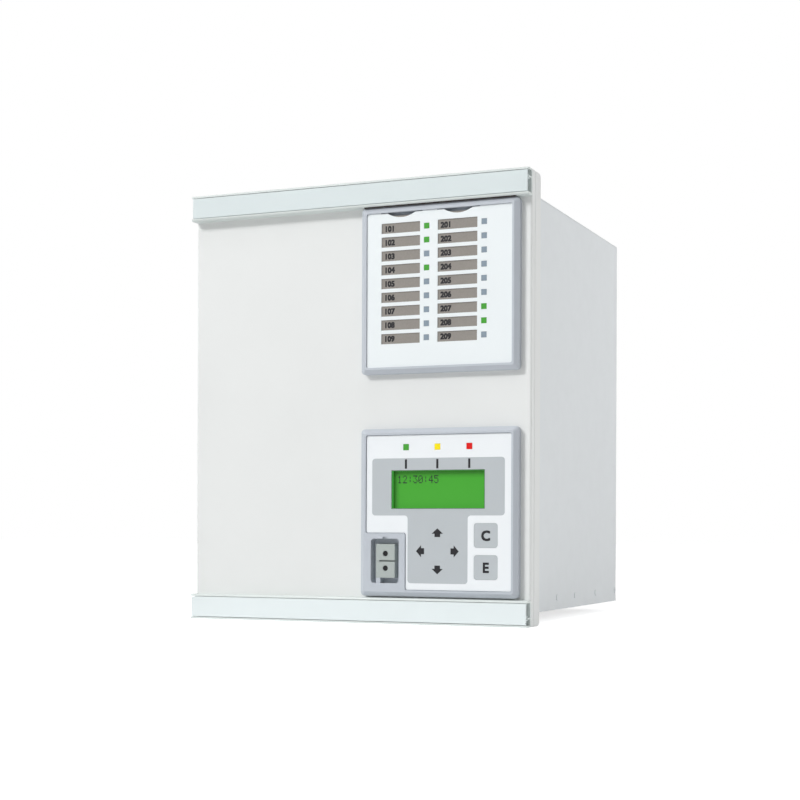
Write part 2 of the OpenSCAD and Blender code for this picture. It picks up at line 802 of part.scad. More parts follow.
// Printed grey field around the display and the arrow keys
module printed_field() color(print_grey) slab(y_foil - print_t, y_foil) {
    difference() {
        union() {
            for (side = [0, 1]) stem_corner(side);
            rect([foil_x, panel_foil_z] + field_at, [foil_x, panel_foil_z] + field_at + field, field_r);
            rect([pad_centre[0] - stem_w / 2, panel_foil_z + stem_foot],
                [pad_centre[0] + stem_w / 2, panel_foil_z + field_at[1] + 2 * field_r], field_r);
        }
        display_window();
        for (c = arrow_centres) key_outline(c, arrow_size, key_fit);
    }
}

module display_glass() color("#4dab39") slab(y_floor_back, y_floor_back + glass_t)
    rect(display_low - [glass_over, glass_over], display_low + display + [glass_over, glass_over]);

module display_frame() color(zinc) {
    rim = glass_over + display_rim;
    pocket = glass_over + fit;
    difference() {
        slab(y_floor_back, y_board) rect(display_low - [rim, rim], display_low + display + [rim, rim]);
        slab(y_floor_back - over, y_floor_back + glass_t)
            rect(display_low - [pocket, pocket], display_low + display + [pocket, pocket]);
    }
}

module operator_board() module_board(panel_z0);

module key_switches() color(black) for (c = concat([c_centre, e_centre], arrow_centres)) difference() {
    slab(y_board - switch[1], y_board) square_at(c, switch[0]);
    rod(c, y_board - switch[1] - over, y_board - switch[1] + stem_in + key_travel + stem_end_gap,
        key_stem_r + key_stem_fit);
}

// Cap, holding flange and stem of a key whose face lies at y_face
module key_body(c, size, y_face) {
    y_flange = y_floor_back + key_flange_gap;
    slab(y_face, y_flange) key_outline(c, size, 0);
    slab(y_flange, y_flange + key_flange[1]) key_outline(c, size, key_flange[0]);
    rod(c, y_flange + key_flange[1], y_board - switch[1] + stem_in, key_stem_r);
}

module arrow_key_body(c) color(print_grey) key_body(c, arrow_size, y_foil - print_t);

module key_c() color(print_grey) key_body(c_centre, big_key, y_foil);

module key_e() color(print_grey) key_body(e_centre, big_key, y_foil);

module key_up() arrow_key_body(up_centre);

module key_down() arrow_key_body(down_centre);

module key_left() arrow_key_body(left_centre);

module key_right() arrow_key_body(right_centre);

module status_guide_green() color("#2fb344") light_guide(status_centre(0), status_side);

module status_guide_yellow() color("#ffe600") light_guide(status_centre(1), status_side);

module status_guide_red() color("#e60a00") light_guide(status_centre(2), status_side);

module optical_block() color("#a4abad") {
    groove_x = port_centre[0] - block[0] / 2 + groove_start;
    difference() {
        slab(y_block, y_board) block_outline(0);
        for (s = [-1, 1])
            rod(port_centre + [0, s * diode_offset], y_block - over, y_board + over, diode_r + fit);
        slab(y_block - over, y_block + block_groove[1])
            rect([groove_x, port_centre[1] - block_groove[0] / 2],
                [port_centre[0] + block[0], port_centre[1] + block_groove[0] / 2]);
    }
}

module optical_diodes() color(black) {
    y_diode = y_block + diode_recess;
    for (s = [-1, 1]) rod(port_centre + [0, s * diode_offset], y_diode, y_board, diode_r);
}

module bezel_screws() color(zinc) for (z0 = [led_z0, panel_z0])
    for (at = module_corners(z0, bezel_screw_inset)) screw_out(at, y_plate, bezel_screw);

module board_screws() color(zinc) for (z0 = [led_z0, panel_z0])
    for (at = module_corners(z0, post_inset)) screw_out(at, y_board_back, board_screw);

// The ribbon rises from one plug, turns over and comes down to the other
ribbon_y0 = y_board_back + ribbon_plug[1] / 2;
ribbon_y1 = y_backplane - ribbon_plug[1] / 2;
ribbon_r = (ribbon_y1 - ribbon_y0) / 2;
ribbon_top = ribbon_z + ribbon_plug[2] / 2 + ribbon_leg;
module_mid_x = (module_x0 + module_x1) / 2;

module ribbon_cable() color("#8b8f94") bar(module_mid_x - ribbon[0] / 2, module_mid_x + ribbon[0] / 2) {
    intersection() {
        translate([(ribbon_y0 + ribbon_y1) / 2, ribbon_top]) difference() {
            circle(r = ribbon_r + ribbon[1] / 2);
            circle(r = ribbon_r - ribbon[1] / 2);
        }
        translate([ribbon_y0 - ribbon[1], ribbon_top]) square([2 * (ribbon_r + ribbon[1]), 2 * ribbon_r]);
    }
    for (y = [ribbon_y0, ribbon_y1])
        translate([y - ribbon[1] / 2, ribbon_top - ribbon_leg]) square([ribbon[1], ribbon_leg]);
}

module ribbon_plugs() color(black) for (y = [ribbon_y0, ribbon_y1])
    span([module_mid_x - ribbon_plug[0] / 2, y - ribbon_plug[1] / 2, ribbon_z - ribbon_plug[2] / 2],
        [module_mid_x + ribbon_plug[0] / 2, y + ribbon_plug[1] / 2, ribbon_z + ribbon_plug[2] / 2]);

// Vent slots in two rows over the cards, for the top and bottom sheets
module vent_slots(z0, z1) for (row = [0, 1]) for (i = [0:vent_n - 1]) {
    x = (i - (vent_n - 1) / 2) * 2 * (case_x - rear_lip) / vent_n;
    y = y_card + card_d / 4 + row * card_d / 2;
    translate([x, y, z0]) linear_extrude(z1 - z0)
        rect([-vent[1] / 2, -vent[0] / 2], [vent[1] / 2, vent[0] / 2], vent[1] / 2);
}

module rack_holes() for (y = [0, rack_pitch_y]) for (z = [-rack_pitch_z / 2, rack_pitch_z / 2])
    cross_rod(case_x - sheet - over, case_x + over, y_seat + rack_hole_y + y, mid_z + z, rack_hole_r);

module rivet_rods(x0, x1, r) for (share = rivet_shares)
    cross_rod(x0, x1, y_rear - share * case_d, case_z0 + rivet_z, r);

// Places of the screws that hold the rear plates
rear_screws_x = [for (i = [0:slot_transformer]) slot_mid(i)];

module rear_screw_holes(z) for (x = rear_screws_x)
    rod([x, z], y_rear - sheet - over, y_rear + over, rear_screw[0] + thread_fit);

// Sides and top folded from one sheet, with a lip around the rear
module case_hood() color(zinc) difference() {
    intersection() {
        union() {
            slab(y_case, y_rear) difference() {
                polygon(rect_points([-case_x, case_z0], [case_x, case_z1], [0, 0, bend_r, bend_r]));
                polygon(rect_points([-case_x + sheet, case_z0 - over], [case_x - sheet, case_z1 - sheet],
                    [0, 0, bend_r - sheet, bend_r - sheet]));
            }
            slab(y_rear - sheet, y_rear) difference() {
                polygon(rect_points([-case_x, case_z0], [case_x, case_z1], [0, 0, bend_r, bend_r]));
                rect([-case_x + rear_lip, case_z0 - over], [case_x - rear_lip, case_z1 - rear_lip]);
            }
        }
        linear_extrude(front_h)
            polygon(rect_points([-case_x, y_case], [case_x, y_rear], [0, 0, bend_r, bend_r]));
    }
    both_sides() {
        rack_holes();
        rivet_rods(case_x - sheet - over, case_x + over, rivet[0] + thread_fit);
    }
    rear_screw_holes(case_z1 - rear_lip / 2);
    vent_slots(case_z1 - sheet - over, case_z1 + over);
}

module case_bottom() color(zinc) difference() {
    x = case_x - sheet - fit;
    y = y_rear - sheet - fit;
    lip_x = case_x - rear_lip - fit;
    union() {
        span([-x, y_case, case_z0], [x, y, case_z0 + sheet]);
        both_sides() span([x - sheet, y_case, case_z0], [x, y, case_z0 + bottom_flange_h]);
        span([-lip_x, y - sheet, case_z0], [lip_x, y_rear, case_z0 + sheet]);
        span([-lip_x, y_rear - sheet, case_z0], [lip_x, y_rear, case_z0 + rear_lip]);
    }
    both_sides() rivet_rods(x - sheet - over, x + over, rivet[0] + thread_fit);
    rear_screw_holes(case_z0 + rear_lip / 2);
    vent_slots(case_z0 - over, case_z0 + sheet + over);
}

module case_rivets() color(zinc) both_sides() {
    inner = case_x - 2 * sheet - fit;
    rivet_rods(inner - rivet[2], case_x + rivet[2], rivet[0]);
    rivet_rods(case_x, case_x + rivet[2], rivet[1]);
    rivet_rods(inner - rivet[2], inner, rivet[1]);
}

// Grooved cross bars under the cards, on the bottom plate and clear of the rivets
module card_guides() {
    x = case_x - 2 * sheet - 2 * fit - rivet[2];
    for (y = [y_card + guide_inset, y_rear - guide_inset - guide[1]]) difference() {
        span([-x, y, case_z0 + sheet], [x, y + guide[1], case_z0 + sheet + guide[0]]);
        for (card_x = cards_x) span([card_x - guide_fit, y - over, card_z0 - guide_fit],
            [card_x + board_t + guide_fit, y + guide[1] + over, front_h]);
    }
}

module lower_card_guides() color(black) card_guides();

module upper_card_guides() color(black) at_top() card_guides();

module backplane() color(laminate) {
    x = case_x - 2 * sheet - 2 * fit;
    span([-x, y_backplane, card_z0], [x, y_socket, card_z0 + card_h]);
}

// Angles on the sides of the case that the backplane is fixed to
module backplane_brackets() color(zinc) both_sides() {
    x = case_x - sheet - fit;
    y = y_backplane - bracket[1] - fit;
    z0 = case_z0 + bottom_flange_h + fit;
    z1 = card_z0 + card_h;
    span([x - bracket[1], y - bracket[0], z0], [x, y + bracket[1], z1]);
    span([x - bracket[0], y, z0], [x, y + bracket[1], z1]);
}

module backplane_sockets() color(black) for (x = cards_x) for (s = [-1, 1])
    span([x + board_t / 2 - socket[0] / 2, y_socket, mid_z + s * card_h / 4 - socket[2] / 2],
        [x + board_t / 2 + socket[0] / 2, y_socket + socket[1], mid_z + s * card_h / 4 + socket[2] / 2]);

module plug_in_cards() color(laminate) for (x = cards_x)
    span([x, y_card, card_z0], [x + board_t, y_rear - fit, card_z0 + card_h]);

// Face of a card that carries its parts
function card_face(i) = cards_x[i] + board_t;
card_mid_y = y_card + card_d / 2;

module input_transformers() color("#6d4a2c") for (i = [0:transformer_n - 1]) {
    x = card_face(slot_transformer);
    z = mid_z + (i - (transformer_n - 1) / 2) * transformer_pitch;
    coil = transformer * coil_share;
    span([x, card_mid_y - transformer[1] / 2, z - coil[2] / 2],
        [x + transformer[0] * coil_share, card_mid_y + transformer[1] / 2, z + coil[2] / 2]);
    span([x, card_mid_y - coil[1] / 2, z - transformer[2] / 2],
        [x + transformer[0], card_mid_y + coil[1] / 2, z + transformer[2] / 2]);
}

module output_relays() color("#d8d9d4") for (slot = slot_io) for (i = [0:relay_n - 1]) {
    z = mid_z + (i - (relay_n - 1) / 2) * relay_pitch;
    span([card_face(slot), card_mid_y - relay[1] / 2, z - relay[2] / 2],
        [card_face(slot) + relay[0], card_mid_y + relay[1] / 2, z + relay[2] / 2]);
}

// Chips of the processor and converter cards, and the heat sink and capacitors of the supply
module card_components() color(black) {
    for (card = [slot_processor, slot_transformer + 1]) for (i = [0:chip_n - 1]) {
        z = mid_z + (i - (chip_n - 1) / 2) * chip_pitch;
        span([card_face(card), card_mid_y - chip[1] / 2, z - chip[2] / 2],
            [card_face(card) + chip[0], card_mid_y + chip[1] / 2, z + chip[2] / 2]);
    }
    supply_parts();
}

module supply_parts() {
    x = card_face(slot_power);
    y = card_mid_y - heat_sink[1] / 2;
    z0 = mid_z - heat_sink[2] / 2;
    z1 = mid_z + heat_sink[2] / 2;
    fin_pitch = heat_sink[1] / fin_n;
    span([x, y, z0], [x + heat_sink[0] * (1 - fin_share), y + heat_sink[1], z1]);
    for (i = [0:fin_n - 1])
        span([x, y + i * fin_pitch, z0], [x + heat_sink[0], y + (i + fin_share) * fin_pitch, z1]);
    for (i = [-1:1]) cross_rod(x, x + capacitor[1], card_mid_y + i * capacitor_pitch,
        z1 + 2 * capacitor[0], capacitor[0]);
}

// Outline of one rear plate with its screw holes
module cover_outline(slot) rect([slot_x(slot) + cover_gap / 2, case_z0 + cover_margin],
    [slot_x(slot + 1) - cover_gap / 2, case_z1 - cover_margin]);

module header_outline(slot, grow) for (s = [-1, 1])
    rect([header_x(slot) - header[0] / 2 - grow, mid_z + s * header_z - header[2] / 2 - grow],
        [header_x(slot) + header[0] / 2 + grow, mid_z + s * header_z + header[2] / 2 + grow]);

module cover_screw_holes(slot) for (z = [case_z0 + rear_lip / 2, case_z1 - rear_lip / 2])
    rod([slot_mid(slot), z], y_rear - over, y_cover + over, rear_screw[0] + hole_play);

fibre_x = card_face(slot_processor) + fibre_gap + fibre_r;
fibre_centres = [for (i = [0:3]) [fibre_x, mid_z + (i - 1.5) * fibre_pitch]];
stud_at = [slot_mid(slot_transformer), case_z0 + stud_z];
stud_root_r = stud_r + stud_root_over;
y_stud_root = y_cover + washer[1] + nut[1] + stud_root_proud;

module transformer_plate() color(zinc) difference() {
    slab(y_rear, y_cover) cover_outline(slot_transformer);
    cover_screw_holes(slot_transformer);
    rod(stud_at, y_rear - over, y_cover + over, stud_root_r + fit);
}

module module_plates() color(zinc) {
    for (slot = header_slots) difference() {
        slab(y_rear, y_cover) difference() {
            cover_outline(slot);
            header_outline(slot, hole_play);
        }
        cover_screw_holes(slot);
    }
    difference() {
        slab(y_rear, y_cover) cover_outline(slot_processor);
        cover_screw_holes(slot_processor);
        for (c = fibre_centres) rod(c, y_rear - over, y_cover + over, fibre_r + fit);
    }
}

module rear_screws() color(zinc) for (x = rear_screws_x)
    for (z = [case_z0 + rear_lip / 2, case_z1 - rear_lip / 2]) screw_out([x, z], y_cover, rear_screw);

terminal_x = slot_mid(slot_transformer);
terminal_h = terminal_n * terminal_pitch + barrier[0];
function terminal_z(i) = mid_z + (i - terminal_n / 2) * terminal_pitch;

module terminal_block() color(black) {
    x0 = terminal_x - terminal[0] / 2;
    x1 = terminal_x + terminal[0] / 2;
    y1 = y_cover + terminal[1];
    span([x0, y_cover, mid_z - terminal_h / 2], [x1, y1, mid_z + terminal_h / 2]);
    for (i = [0:terminal_n]) span([x0, y_cover, terminal_z(i) - barrier[0] / 2],
        [x1, y1 + barrier[1], terminal_z(i) + barrier[0] / 2]);
}

module terminal_screws() color(zinc) for (i = [0:terminal_n - 1]) {
    z = terminal_z(i) + terminal_pitch / 2;
    y = y_cover + terminal[1];
    span([terminal_x - terminal_plate[0] / 2, y, z - terminal_plate[0] / 2],
        [terminal_x + terminal_plate[0] / 2, y + terminal_plate[1], z + terminal_plate[0] / 2]);
    difference() {
        rod([terminal_x, z], y, y + terminal_screw[1], terminal_screw[0]);
        slab(y + terminal_screw[1] * socket_depth_share, y + terminal_screw[1] + over)
            translate([terminal_x, z])
            square([2 * terminal_screw[0], terminal_screw[0] / 4], center = true);
    }
}

module headers() color("#3c7a4a") for (slot = header_slots)
    slab(y_rear - header[1], y_cover - fit) header_outline(slot, 0);

// Height of a pole of a wiring plug above its middle
function pole_z(i) = (i - (plug_poles - 1) / 2) * pole_pitch;

module wiring_plugs() color("#3c7a4a") for (slot = header_slots) for (s = [-1, 1]) difference() {
    x = header_x(slot);
    z = mid_z + s * header_z;
    span([x - plug[0] / 2, y_cover, z - plug[2] / 2],
        [x + plug[0] / 2, y_back - plug_screw[1], z + plug[2] / 2]);
    slab(y_back - wire_hole[1], y_back + over) for (i = [0:plug_poles - 1])
        square_at([x - pole_offset, z + pole_z(i)], wire_hole[0]);
}

module plug_screws() color(zinc) for (slot = header_slots) for (s = [-1, 1]) for (i = [0:plug_poles - 1])
    rod([header_x(slot) + pole_offset, mid_z + s * header_z + pole_z(i)],
        y_back - plug_screw[1], y_back, plug_screw[0]);

module fibre_connectors() color(black) for (c = fibre_centres) {
    slab(y_cover, y_cover + fibre_collar[1]) square_at(c, fibre_collar[0]);
    rod(c, y_rear - fibre_len[1], y_cover + fibre_collar[1] + fibre_len[0], fibre_r);
}

module earth_stud() color(zinc) {
    rod(stud_at, y_rear, y_stud_root, stud_root_r);
    rod(stud_at, y_stud_root, y_cover + stud_len, stud_r);
    slab(y_rear - nut[1], y_rear) translate(stud_at) circle(r = nut[0], $fn = 6);
}

module earth_nut() color(zinc) difference() {
    union() {
        rod(stud_at, y_cover, y_cover + washer[1], washer[0]);
        slab(y_cover + washer[1], y_cover + washer[1] + nut[1])
            translate(stud_at) circle(r = nut[0], $fn = 6);
    }
    rod(stud_at, y_cover - over, y_cover + washer[1] + nut[1] + over, stud_root_r + thread_fit);
}

front_plate();
mounting_frame();
top_rail();
bottom_rail();
top_label_strip();
bottom_label_strip();
rail_screws();
led_bezel();
led_foil();
left_label_card();
right_label_card();
led_guides_lit();
led_guides_unlit();
led_board();
indicator_chips();
operator_bezel();
operator_foil();
printed_field();
display_glass();
display_frame();
operator_board();
key_switches();
key_c();
key_e();
key_up();
key_down();
key_left();
key_right();
status_guide_green();
status_guide_yellow();
status_guide_red();
optical_block();
optical_diodes();
bezel_screws();
board_screws();
ribbon_cable();
ribbon_plugs();
case_hood();
case_bottom();
case_rivets();
upper_card_guides();
lower_card_guides();
backplane();
backplane_brackets();
backplane_sockets();
plug_in_cards();
input_transformers();
card_components();
output_relays();
transformer_plate();
module_plates();
rear_screws();
terminal_block();
terminal_screws();
headers();
wiring_plugs();
plug_screws();
fibre_connectors();
earth_stud();
earth_nut();
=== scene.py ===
import math

import bmesh
import bpy
from bpy.props import FloatProperty, FloatVectorProperty, IntProperty, PointerProperty, StringProperty
from bpy.types import Operator, Panel, PropertyGroup
from mathutils import Euler, Matrix, Vector


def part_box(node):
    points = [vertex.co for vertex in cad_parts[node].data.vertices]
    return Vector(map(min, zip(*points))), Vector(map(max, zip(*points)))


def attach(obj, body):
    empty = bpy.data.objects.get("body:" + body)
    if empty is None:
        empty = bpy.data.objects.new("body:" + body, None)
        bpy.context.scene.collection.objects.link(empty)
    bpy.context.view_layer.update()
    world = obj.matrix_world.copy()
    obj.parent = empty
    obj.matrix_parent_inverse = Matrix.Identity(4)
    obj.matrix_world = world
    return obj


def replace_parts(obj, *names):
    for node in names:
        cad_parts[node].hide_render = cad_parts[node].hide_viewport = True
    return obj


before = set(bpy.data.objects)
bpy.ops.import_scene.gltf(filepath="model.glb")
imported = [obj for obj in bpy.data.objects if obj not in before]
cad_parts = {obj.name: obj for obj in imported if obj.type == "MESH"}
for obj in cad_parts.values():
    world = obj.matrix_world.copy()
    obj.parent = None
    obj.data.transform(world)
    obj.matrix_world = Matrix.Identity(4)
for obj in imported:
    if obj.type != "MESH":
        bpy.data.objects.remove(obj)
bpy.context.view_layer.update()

bl_info = {
    "name": "Protection relay",
    "version": (1, 0, 0),
    "blender": (4, 5, 0),
    "location": "View3D > Sidebar > Relay",
    "description": "Finishes, prints, threads, light and camera for a flush-mounted protection relay",
    "category": "Object",
}

MM = 0.001
BODY = "relay"
CAPITAL_SHARE = 0.73    # height of a capital letter, as a share of the type size
DOT_SHARE = 0.95        # height of a display dot, as a share of its pitch
LABEL_ROWS = 9
LABEL_STEP = 100        # step of the label numbers from one column to the next
STUD_SIDES = 32
THREAD_STEPS = 8        # rings of the stud's mesh for each turn of its thread
FLOOR_HALF = 6.0        # half the floor's side in metres
LAMP_AIM = Vector((0, 0, 0.13))


def linear(code):
    """Turn an sRGB hex colour into linear red, green and blue."""
    values = [int(code[i:i + 2], 16) / 255 for i in (0, 2, 4)]
    return tuple(v / 12.92 if v <= 0.04045 else ((v + 0.055) / 1.055) ** 2.4 for v in values)


def colour(name, code, description):
    """Colour property with its default given as an sRGB hex value."""
    return FloatVectorProperty(
        name=name, description=description, default=linear(code), min=0, max=1, size=3, subtype="COLOR")


def length(name, millimetres, description):
    """Length property with its default given in millimetres."""
    return FloatProperty(
        name=name, description=description, default=millimetres * MM, min=0, unit="LENGTH",
        subtype="DISTANCE")


class RelayColours(PropertyGroup):
    """Colours of the relay's finishes."""
    paint: colour("Paint", "E6E8E7", "Light grey powder coat of the front and its frame")
    sheet: colour("Case sheet", "E2E6E8", "Coated steel sheet of the case")
    rail: colour("Rail", "DCE3E1", "Satin lacquer of the extruded rails")
    # The two strips share one lacquer: the upper strip's darker colour is painted shade and the lower strip's
    # lighter colour is painted light.
    strip: colour("Upper label strip", "D8E2E3", "Satin lacquer of the label strip in the upper rail")
    lower_strip_painted_light: colour("Lower label strip", "E7EFF0", "Satin lacquer of the label strip in the lower rail")
    moulding: colour("Bezel", "BEC4CC", "Grey moulded bezels")
    foil: colour("Operator foil", "F0F4F7", "White printed foil of the operator panel")
    led_foil: colour("Indicator foil", "EDF3F5", "White printed foil of the indicator panel")
    field: colour("Printed field", "BBC1C5", "Grey printed field and keys")
    card: colour("Label card", "928D87", "Label cards behind the foil's windows")
    ink: colour("Ink", "131118", "Dark printing ink")
    lit_green: colour("Lit green", "44A032", "Lit indicators")
    lit_yellow: colour("Lit yellow", "FAE400", "Start indicator")
    lit_red: colour("Lit red", "DC0600", "Trip indicator")
    unlit: colour("Unlit indicator", "8A99A6", "Unlit indicators")
    display: colour("Display", "3E942C", "Backlit display")
    crystal: colour("Display dots", "04180A", "Dark dots of the display")
    optics: colour("Optical block", "ADB5B2", "Block of the optical port")
    # Near-black seal colour: partly the rubber's own, partly painted shadow of the gap under the upper rail.
    seal: colour("Seal", "2A1F1D", "Rubber seal under the upper rail")
    # Painted light: colour of the glowing sleeve that stands for the display's light on the window's walls.
    lining: colour("Display lining", "3C8E3A", "Green light on the film edge around the display window")
    outline: colour("Display outline", "3A5A3C", "Printed line around the display window")
    plug: colour("Wiring plugs", "3F7A4C", "Green wiring plugs and headers")


class RelayPrints(PropertyGroup):
    """Sizes of the prints and of the rounded edges."""
    print_t: length("Print thickness", 0.02, "Height of a print above its surface")
    fold_r: length("Fold radius", 0.45, "Rounding of the painted sheet's edges")
    sheet_r: length("Sheet edge", 0.25, "Rounding of the case sheet's cut edges")
    key_edge_r: length("Key edge", 0.12, "Rounding of the keys' edges")
    mould_r: length("Moulded edge", 0.3, "Rounding of moulded edges")
    extrusion_r: length("Extruded edge", 0.2, "Rounding of the rails' edges")
    label_h: length("Label digits", 3.3, "Height of the digits on the label cards")
    card_over: length("Card edge", 0.6, "How far a label card reaches past its window")
    label_margin: length("Label margin", 1.7, "Distance of the digits from a window's left edge")
    label_drop: length("Label drop", 0.25, "Distance of the digits below the middle of a window")
    label_bold: length("Label weight", 0.26, "How much the strokes of the digits are widened on each side")
    key_letter_h: length("Key letters", 5.9, "Height of the letters on the large keys")
    key_letter_drop: length("Key letter drop", 0.5, "Distance of the letters below the middle of a key")
    key_bold: length("Key letter weight", 0.32, "How much the strokes of the letters are widened on each side")
    arrow_length: length("Arrow length", 5.2, "Length of the arrows on the arrow keys")
    arrow_width: length("Arrow width", 7.2, "Width of an arrow's head")
    tick_w: length("Tick width", 1.4, "Width of the marks under the status lights")
    tick_h: length("Tick height", 5.6, "Height of the marks under the status lights")
    tick_drop: length("Tick drop", 10.1, "Distance of the marks below the status lights")
    dot: FloatVectorProperty(
        name="Display dot", description="Dot pitch of the display across and upwards",
        default=(0.56 * MM, 0.67 * MM), size=2, unit="LENGTH", subtype="XYZ_LENGTH")
    reading_at: FloatVectorProperty(
        name="Reading place", description="Distance of the reading from the window's left and upper edge",
        default=(2.7 * MM, 2.8 * MM), size=2, unit="LENGTH", subtype="XYZ_LENGTH")
    glass_over: length("Glass edge", 2.6, "How far the display glass reaches past its window")
    lining_w: length("Lining", 0.1, "Thickness of the lining in the display window")
    key_gap: length("Key gap", 0.1, "Open line around a key")
    key_r: length("Key corner", 1.8, "Corner radius of a key")
    arrow_key: length("Arrow key", 9.4, "Side of an arrow key")
    outline_w: length("Display outline", 0.3, "Width of the printed line around the display window")
    seal_h: length("Seal height", 0.6, "Height of the seal's bead below the upper rail")
    seal_inset: length("Seal inset", 2.0, "How far the seal stays in from the bezel's edges")
    seal_gap: length("Seal gap", 0.3, "Distance of the seal's bead from the bezel's face")
    nut_r: length("Nut edge", 0.25, "Rounding of the earth nut's edges")
    stud_r: length("Stud radius", 2.5, "Outer radius of the earth stud's thread")
    root_r: length("Stud root", 3.0, "Radius of the earth stud inside the nut")
    root_over: length("Stud root end", 0.5, "How far the stud's thicker root passes the nut")
    thread_pitch: length("Thread pitch", 0.8, "Pitch of the earth stud's thread")
    thread_depth: length("Thread depth", 0.45, "Depth of the earth stud's thread")
    reading: StringProperty(name="Reading", description="Digits on the display", default="12:30:45")
    first_label: IntProperty(name="First label", description="Number on the first label", default=101)


class RelayStudio(PropertyGroup):
    """Camera and lamps."""
    place: FloatVectorProperty(
        name="Camera place", description="Where the camera stands", default=(0.3949, -0.96275, 0.05582),
        subtype="TRANSLATION", unit="LENGTH")
    turn: FloatProperty(
        name="Turn", description="Turn of the camera to the left", default=math.radians(22.385),
        subtype="ANGLE")
    pitch: FloatProperty(
        name="Pitch", description="Tilt of the camera upwards", default=math.radians(0.031), subtype="ANGLE")
    roll: FloatProperty(
        name="Roll", description="Roll of the camera", default=math.radians(0.22), subtype="ANGLE")
    lens: FloatProperty(name="Lens", description="Focal length in millimetres", default=69.28)
    shift: FloatVectorProperty(
        name="Shift", description="Shift of the picture, as shares of its width",
        default=(-0.0313, 0.1624), size=2)
    ambient: FloatProperty(name="Ambient", description="Level of the room's even light", default=0.31, min=0)
    key_power: FloatProperty(
        name="Key lamp", description="Power of the large lamp", default=271.0, min=0, unit="POWER")
    side_power: FloatProperty(
        name="Side lamp", description="Power of the lamp that lights the case's side", default=5.5, min=0,
        unit="POWER")
    top_power: FloatProperty(
        name="Top lamp", description="Power of the lamp above the relay", default=12.0, min=0, unit="POWER")
    floor_lift: FloatProperty(
        name="Floor lift", description="Light that the camera sees the floor give by itself",
        default=0.7, min=0)


def prints():
    """Print and edge sizes in use."""
    return bpy.context.scene.relay_prints


def colours():
    """Finish colours in use."""
    return bpy.context.scene.relay_colours


def add(tree, kind, inputs=None, **settings):
    """Add a node with its settings, and give each input a value or a link."""
    node = tree.nodes.new(kind)
    for key, value in settings.items():
        setattr(node, key, value)
    for key, value in (inputs or {}).items():
        if isinstance(value, bpy.types.NodeSocket):
            tree.links.new(value, node.inputs[key])
        else:
            node.inputs[key].default_value = value
    return node


def new_material(name):
    """Empty node material with its output, and the place vector in metres."""
    material = bpy.data.materials.new(name)
    material.use_nodes = True
    tree = material.node_tree
    tree.nodes.clear()
    place = add(tree, "ShaderNodeTexCoord").outputs["Object"]
    return material, tree, place


def close(tree, shader):
    """Send a shader to the material's output."""
    add(tree, "ShaderNodeOutputMaterial", {"Surface": shader.outputs[0]})


def per_metre(millimetres):
    """Noise scale whose cells are about this many millimetres across."""
    return 1 / (millimetres * MM)


def tint(base, factor):
    """Base colour times a factor, as red, green, blue and alpha."""
    return tuple(min(1.0, c * factor) for c in base) + (1.0,)


def mottle(tree, place, base, cell, spread):
    """Base colour that wavers by a share of itself over cells of the given size in millimetres."""
    noise = add(tree, "ShaderNodeTexNoise", {"Vector": place, "Scale": per_metre(cell), "Detail": 4.0})
    ramp = add(tree, "ShaderNodeValToRGB", {"Fac": noise.outputs["Fac"]})
    ramp.color_ramp.elements[0].position = 0.3
    ramp.color_ramp.elements[0].color = tint(base, 1 - spread)
    ramp.color_ramp.elements[1].position = 0.7
    ramp.color_ramp.elements[1].color = tint(base, 1 + spread)
    return ramp.outputs["Color"]


def grain(tree, place, cell, height, strength=1.0, stretch=(1, 1, 1)):
    """Bump of fine cells, with their size and height in millimetres, drawn out along an axis by stretch."""
    mapping = add(tree, "ShaderNodeMapping", {"Vector": place, "Scale": stretch})
    noise = add(tree, "ShaderNodeTexNoise", {
        "Vector": mapping.outputs["Vector"], "Scale": per_metre(cell), "Detail": 3.0})
    bump = add(tree, "ShaderNodeBump", {
        "Height": noise.outputs["Fac"], "Distance": height * MM, "Strength": strength})
    return bump.outputs["Normal"]


def rough(tree, place, low, high, cell):
    """Roughness that wavers between two values over cells of the given size in millimetres."""
    noise = add(tree, "ShaderNodeTexNoise", {"Vector": place, "Scale": per_metre(cell), "Detail": 2.0})
    spread = add(tree, "ShaderNodeMapRange", {"Value": noise.outputs["Fac"], "To Min": low, "To Max": high})
    return spread.outputs["Result"]


def powder_coat(name, base):
    """Polyester powder coat, sprayed and baked: satin, with a faint orange peel about 1.2 mm across."""
    material, tree, place = new_material(name)
    close(tree, add(tree, "ShaderNodeBsdfPrincipled", {
        "Base Color": mottle(tree, place, base, 60, 0.012), "IOR": 1.5,
        "Roughness": rough(tree, place, 0.42, 0.5, 8), "Normal": grain(tree, place, 1.2, 0.02, 0.5)}))
    return material


def coated_sheet():
    """Aluminium-zinc coated steel under a thin clear coat: pale and satin, with a faint rolling direction."""
    material, tree, place = new_material("coated_steel_sheet")
    close(tree, add(tree, "ShaderNodeBsdfPrincipled", {
        "Base Color": mottle(tree, place, colours().sheet, 9, 0.012), "IOR": 1.5,
        "Roughness": rough(tree, place, 0.4, 0.52, 3),
        "Normal": grain(tree, place, 0.9, 0.015, 0.5, (1, 0.12, 1))}))
    return material


def lacquered(name, base, line, height):
    """Lacquered aluminium: an even satin film that lets the die or rolling lines along it show faintly."""
    material, tree, place = new_material(name)
    close(tree, add(tree, "ShaderNodeBsdfPrincipled", {
        "Base Color": mottle(tree, place, base, 40, 0.008), "IOR": 1.5,
        "Roughness": rough(tree, place, 0.36, 0.44, 6),
        "Normal": grain(tree, place, line, height, 0.5, (0.02, 1, 1))}))
    return material


def rubber(name, base):
    """Moulded rubber: matt, with a fine bloom of lighter dust over cells of about 3 mm."""
    material, tree, place = new_material(name)
    close(tree, add(tree, "ShaderNodeBsdfPrincipled", {
        "Base Color": mottle(tree, place, base, 3, 0.12), "IOR": 1.52, "Roughness": 0.7,
        "Normal": grain(tree, place, 0.25, 0.01)}))
    return material


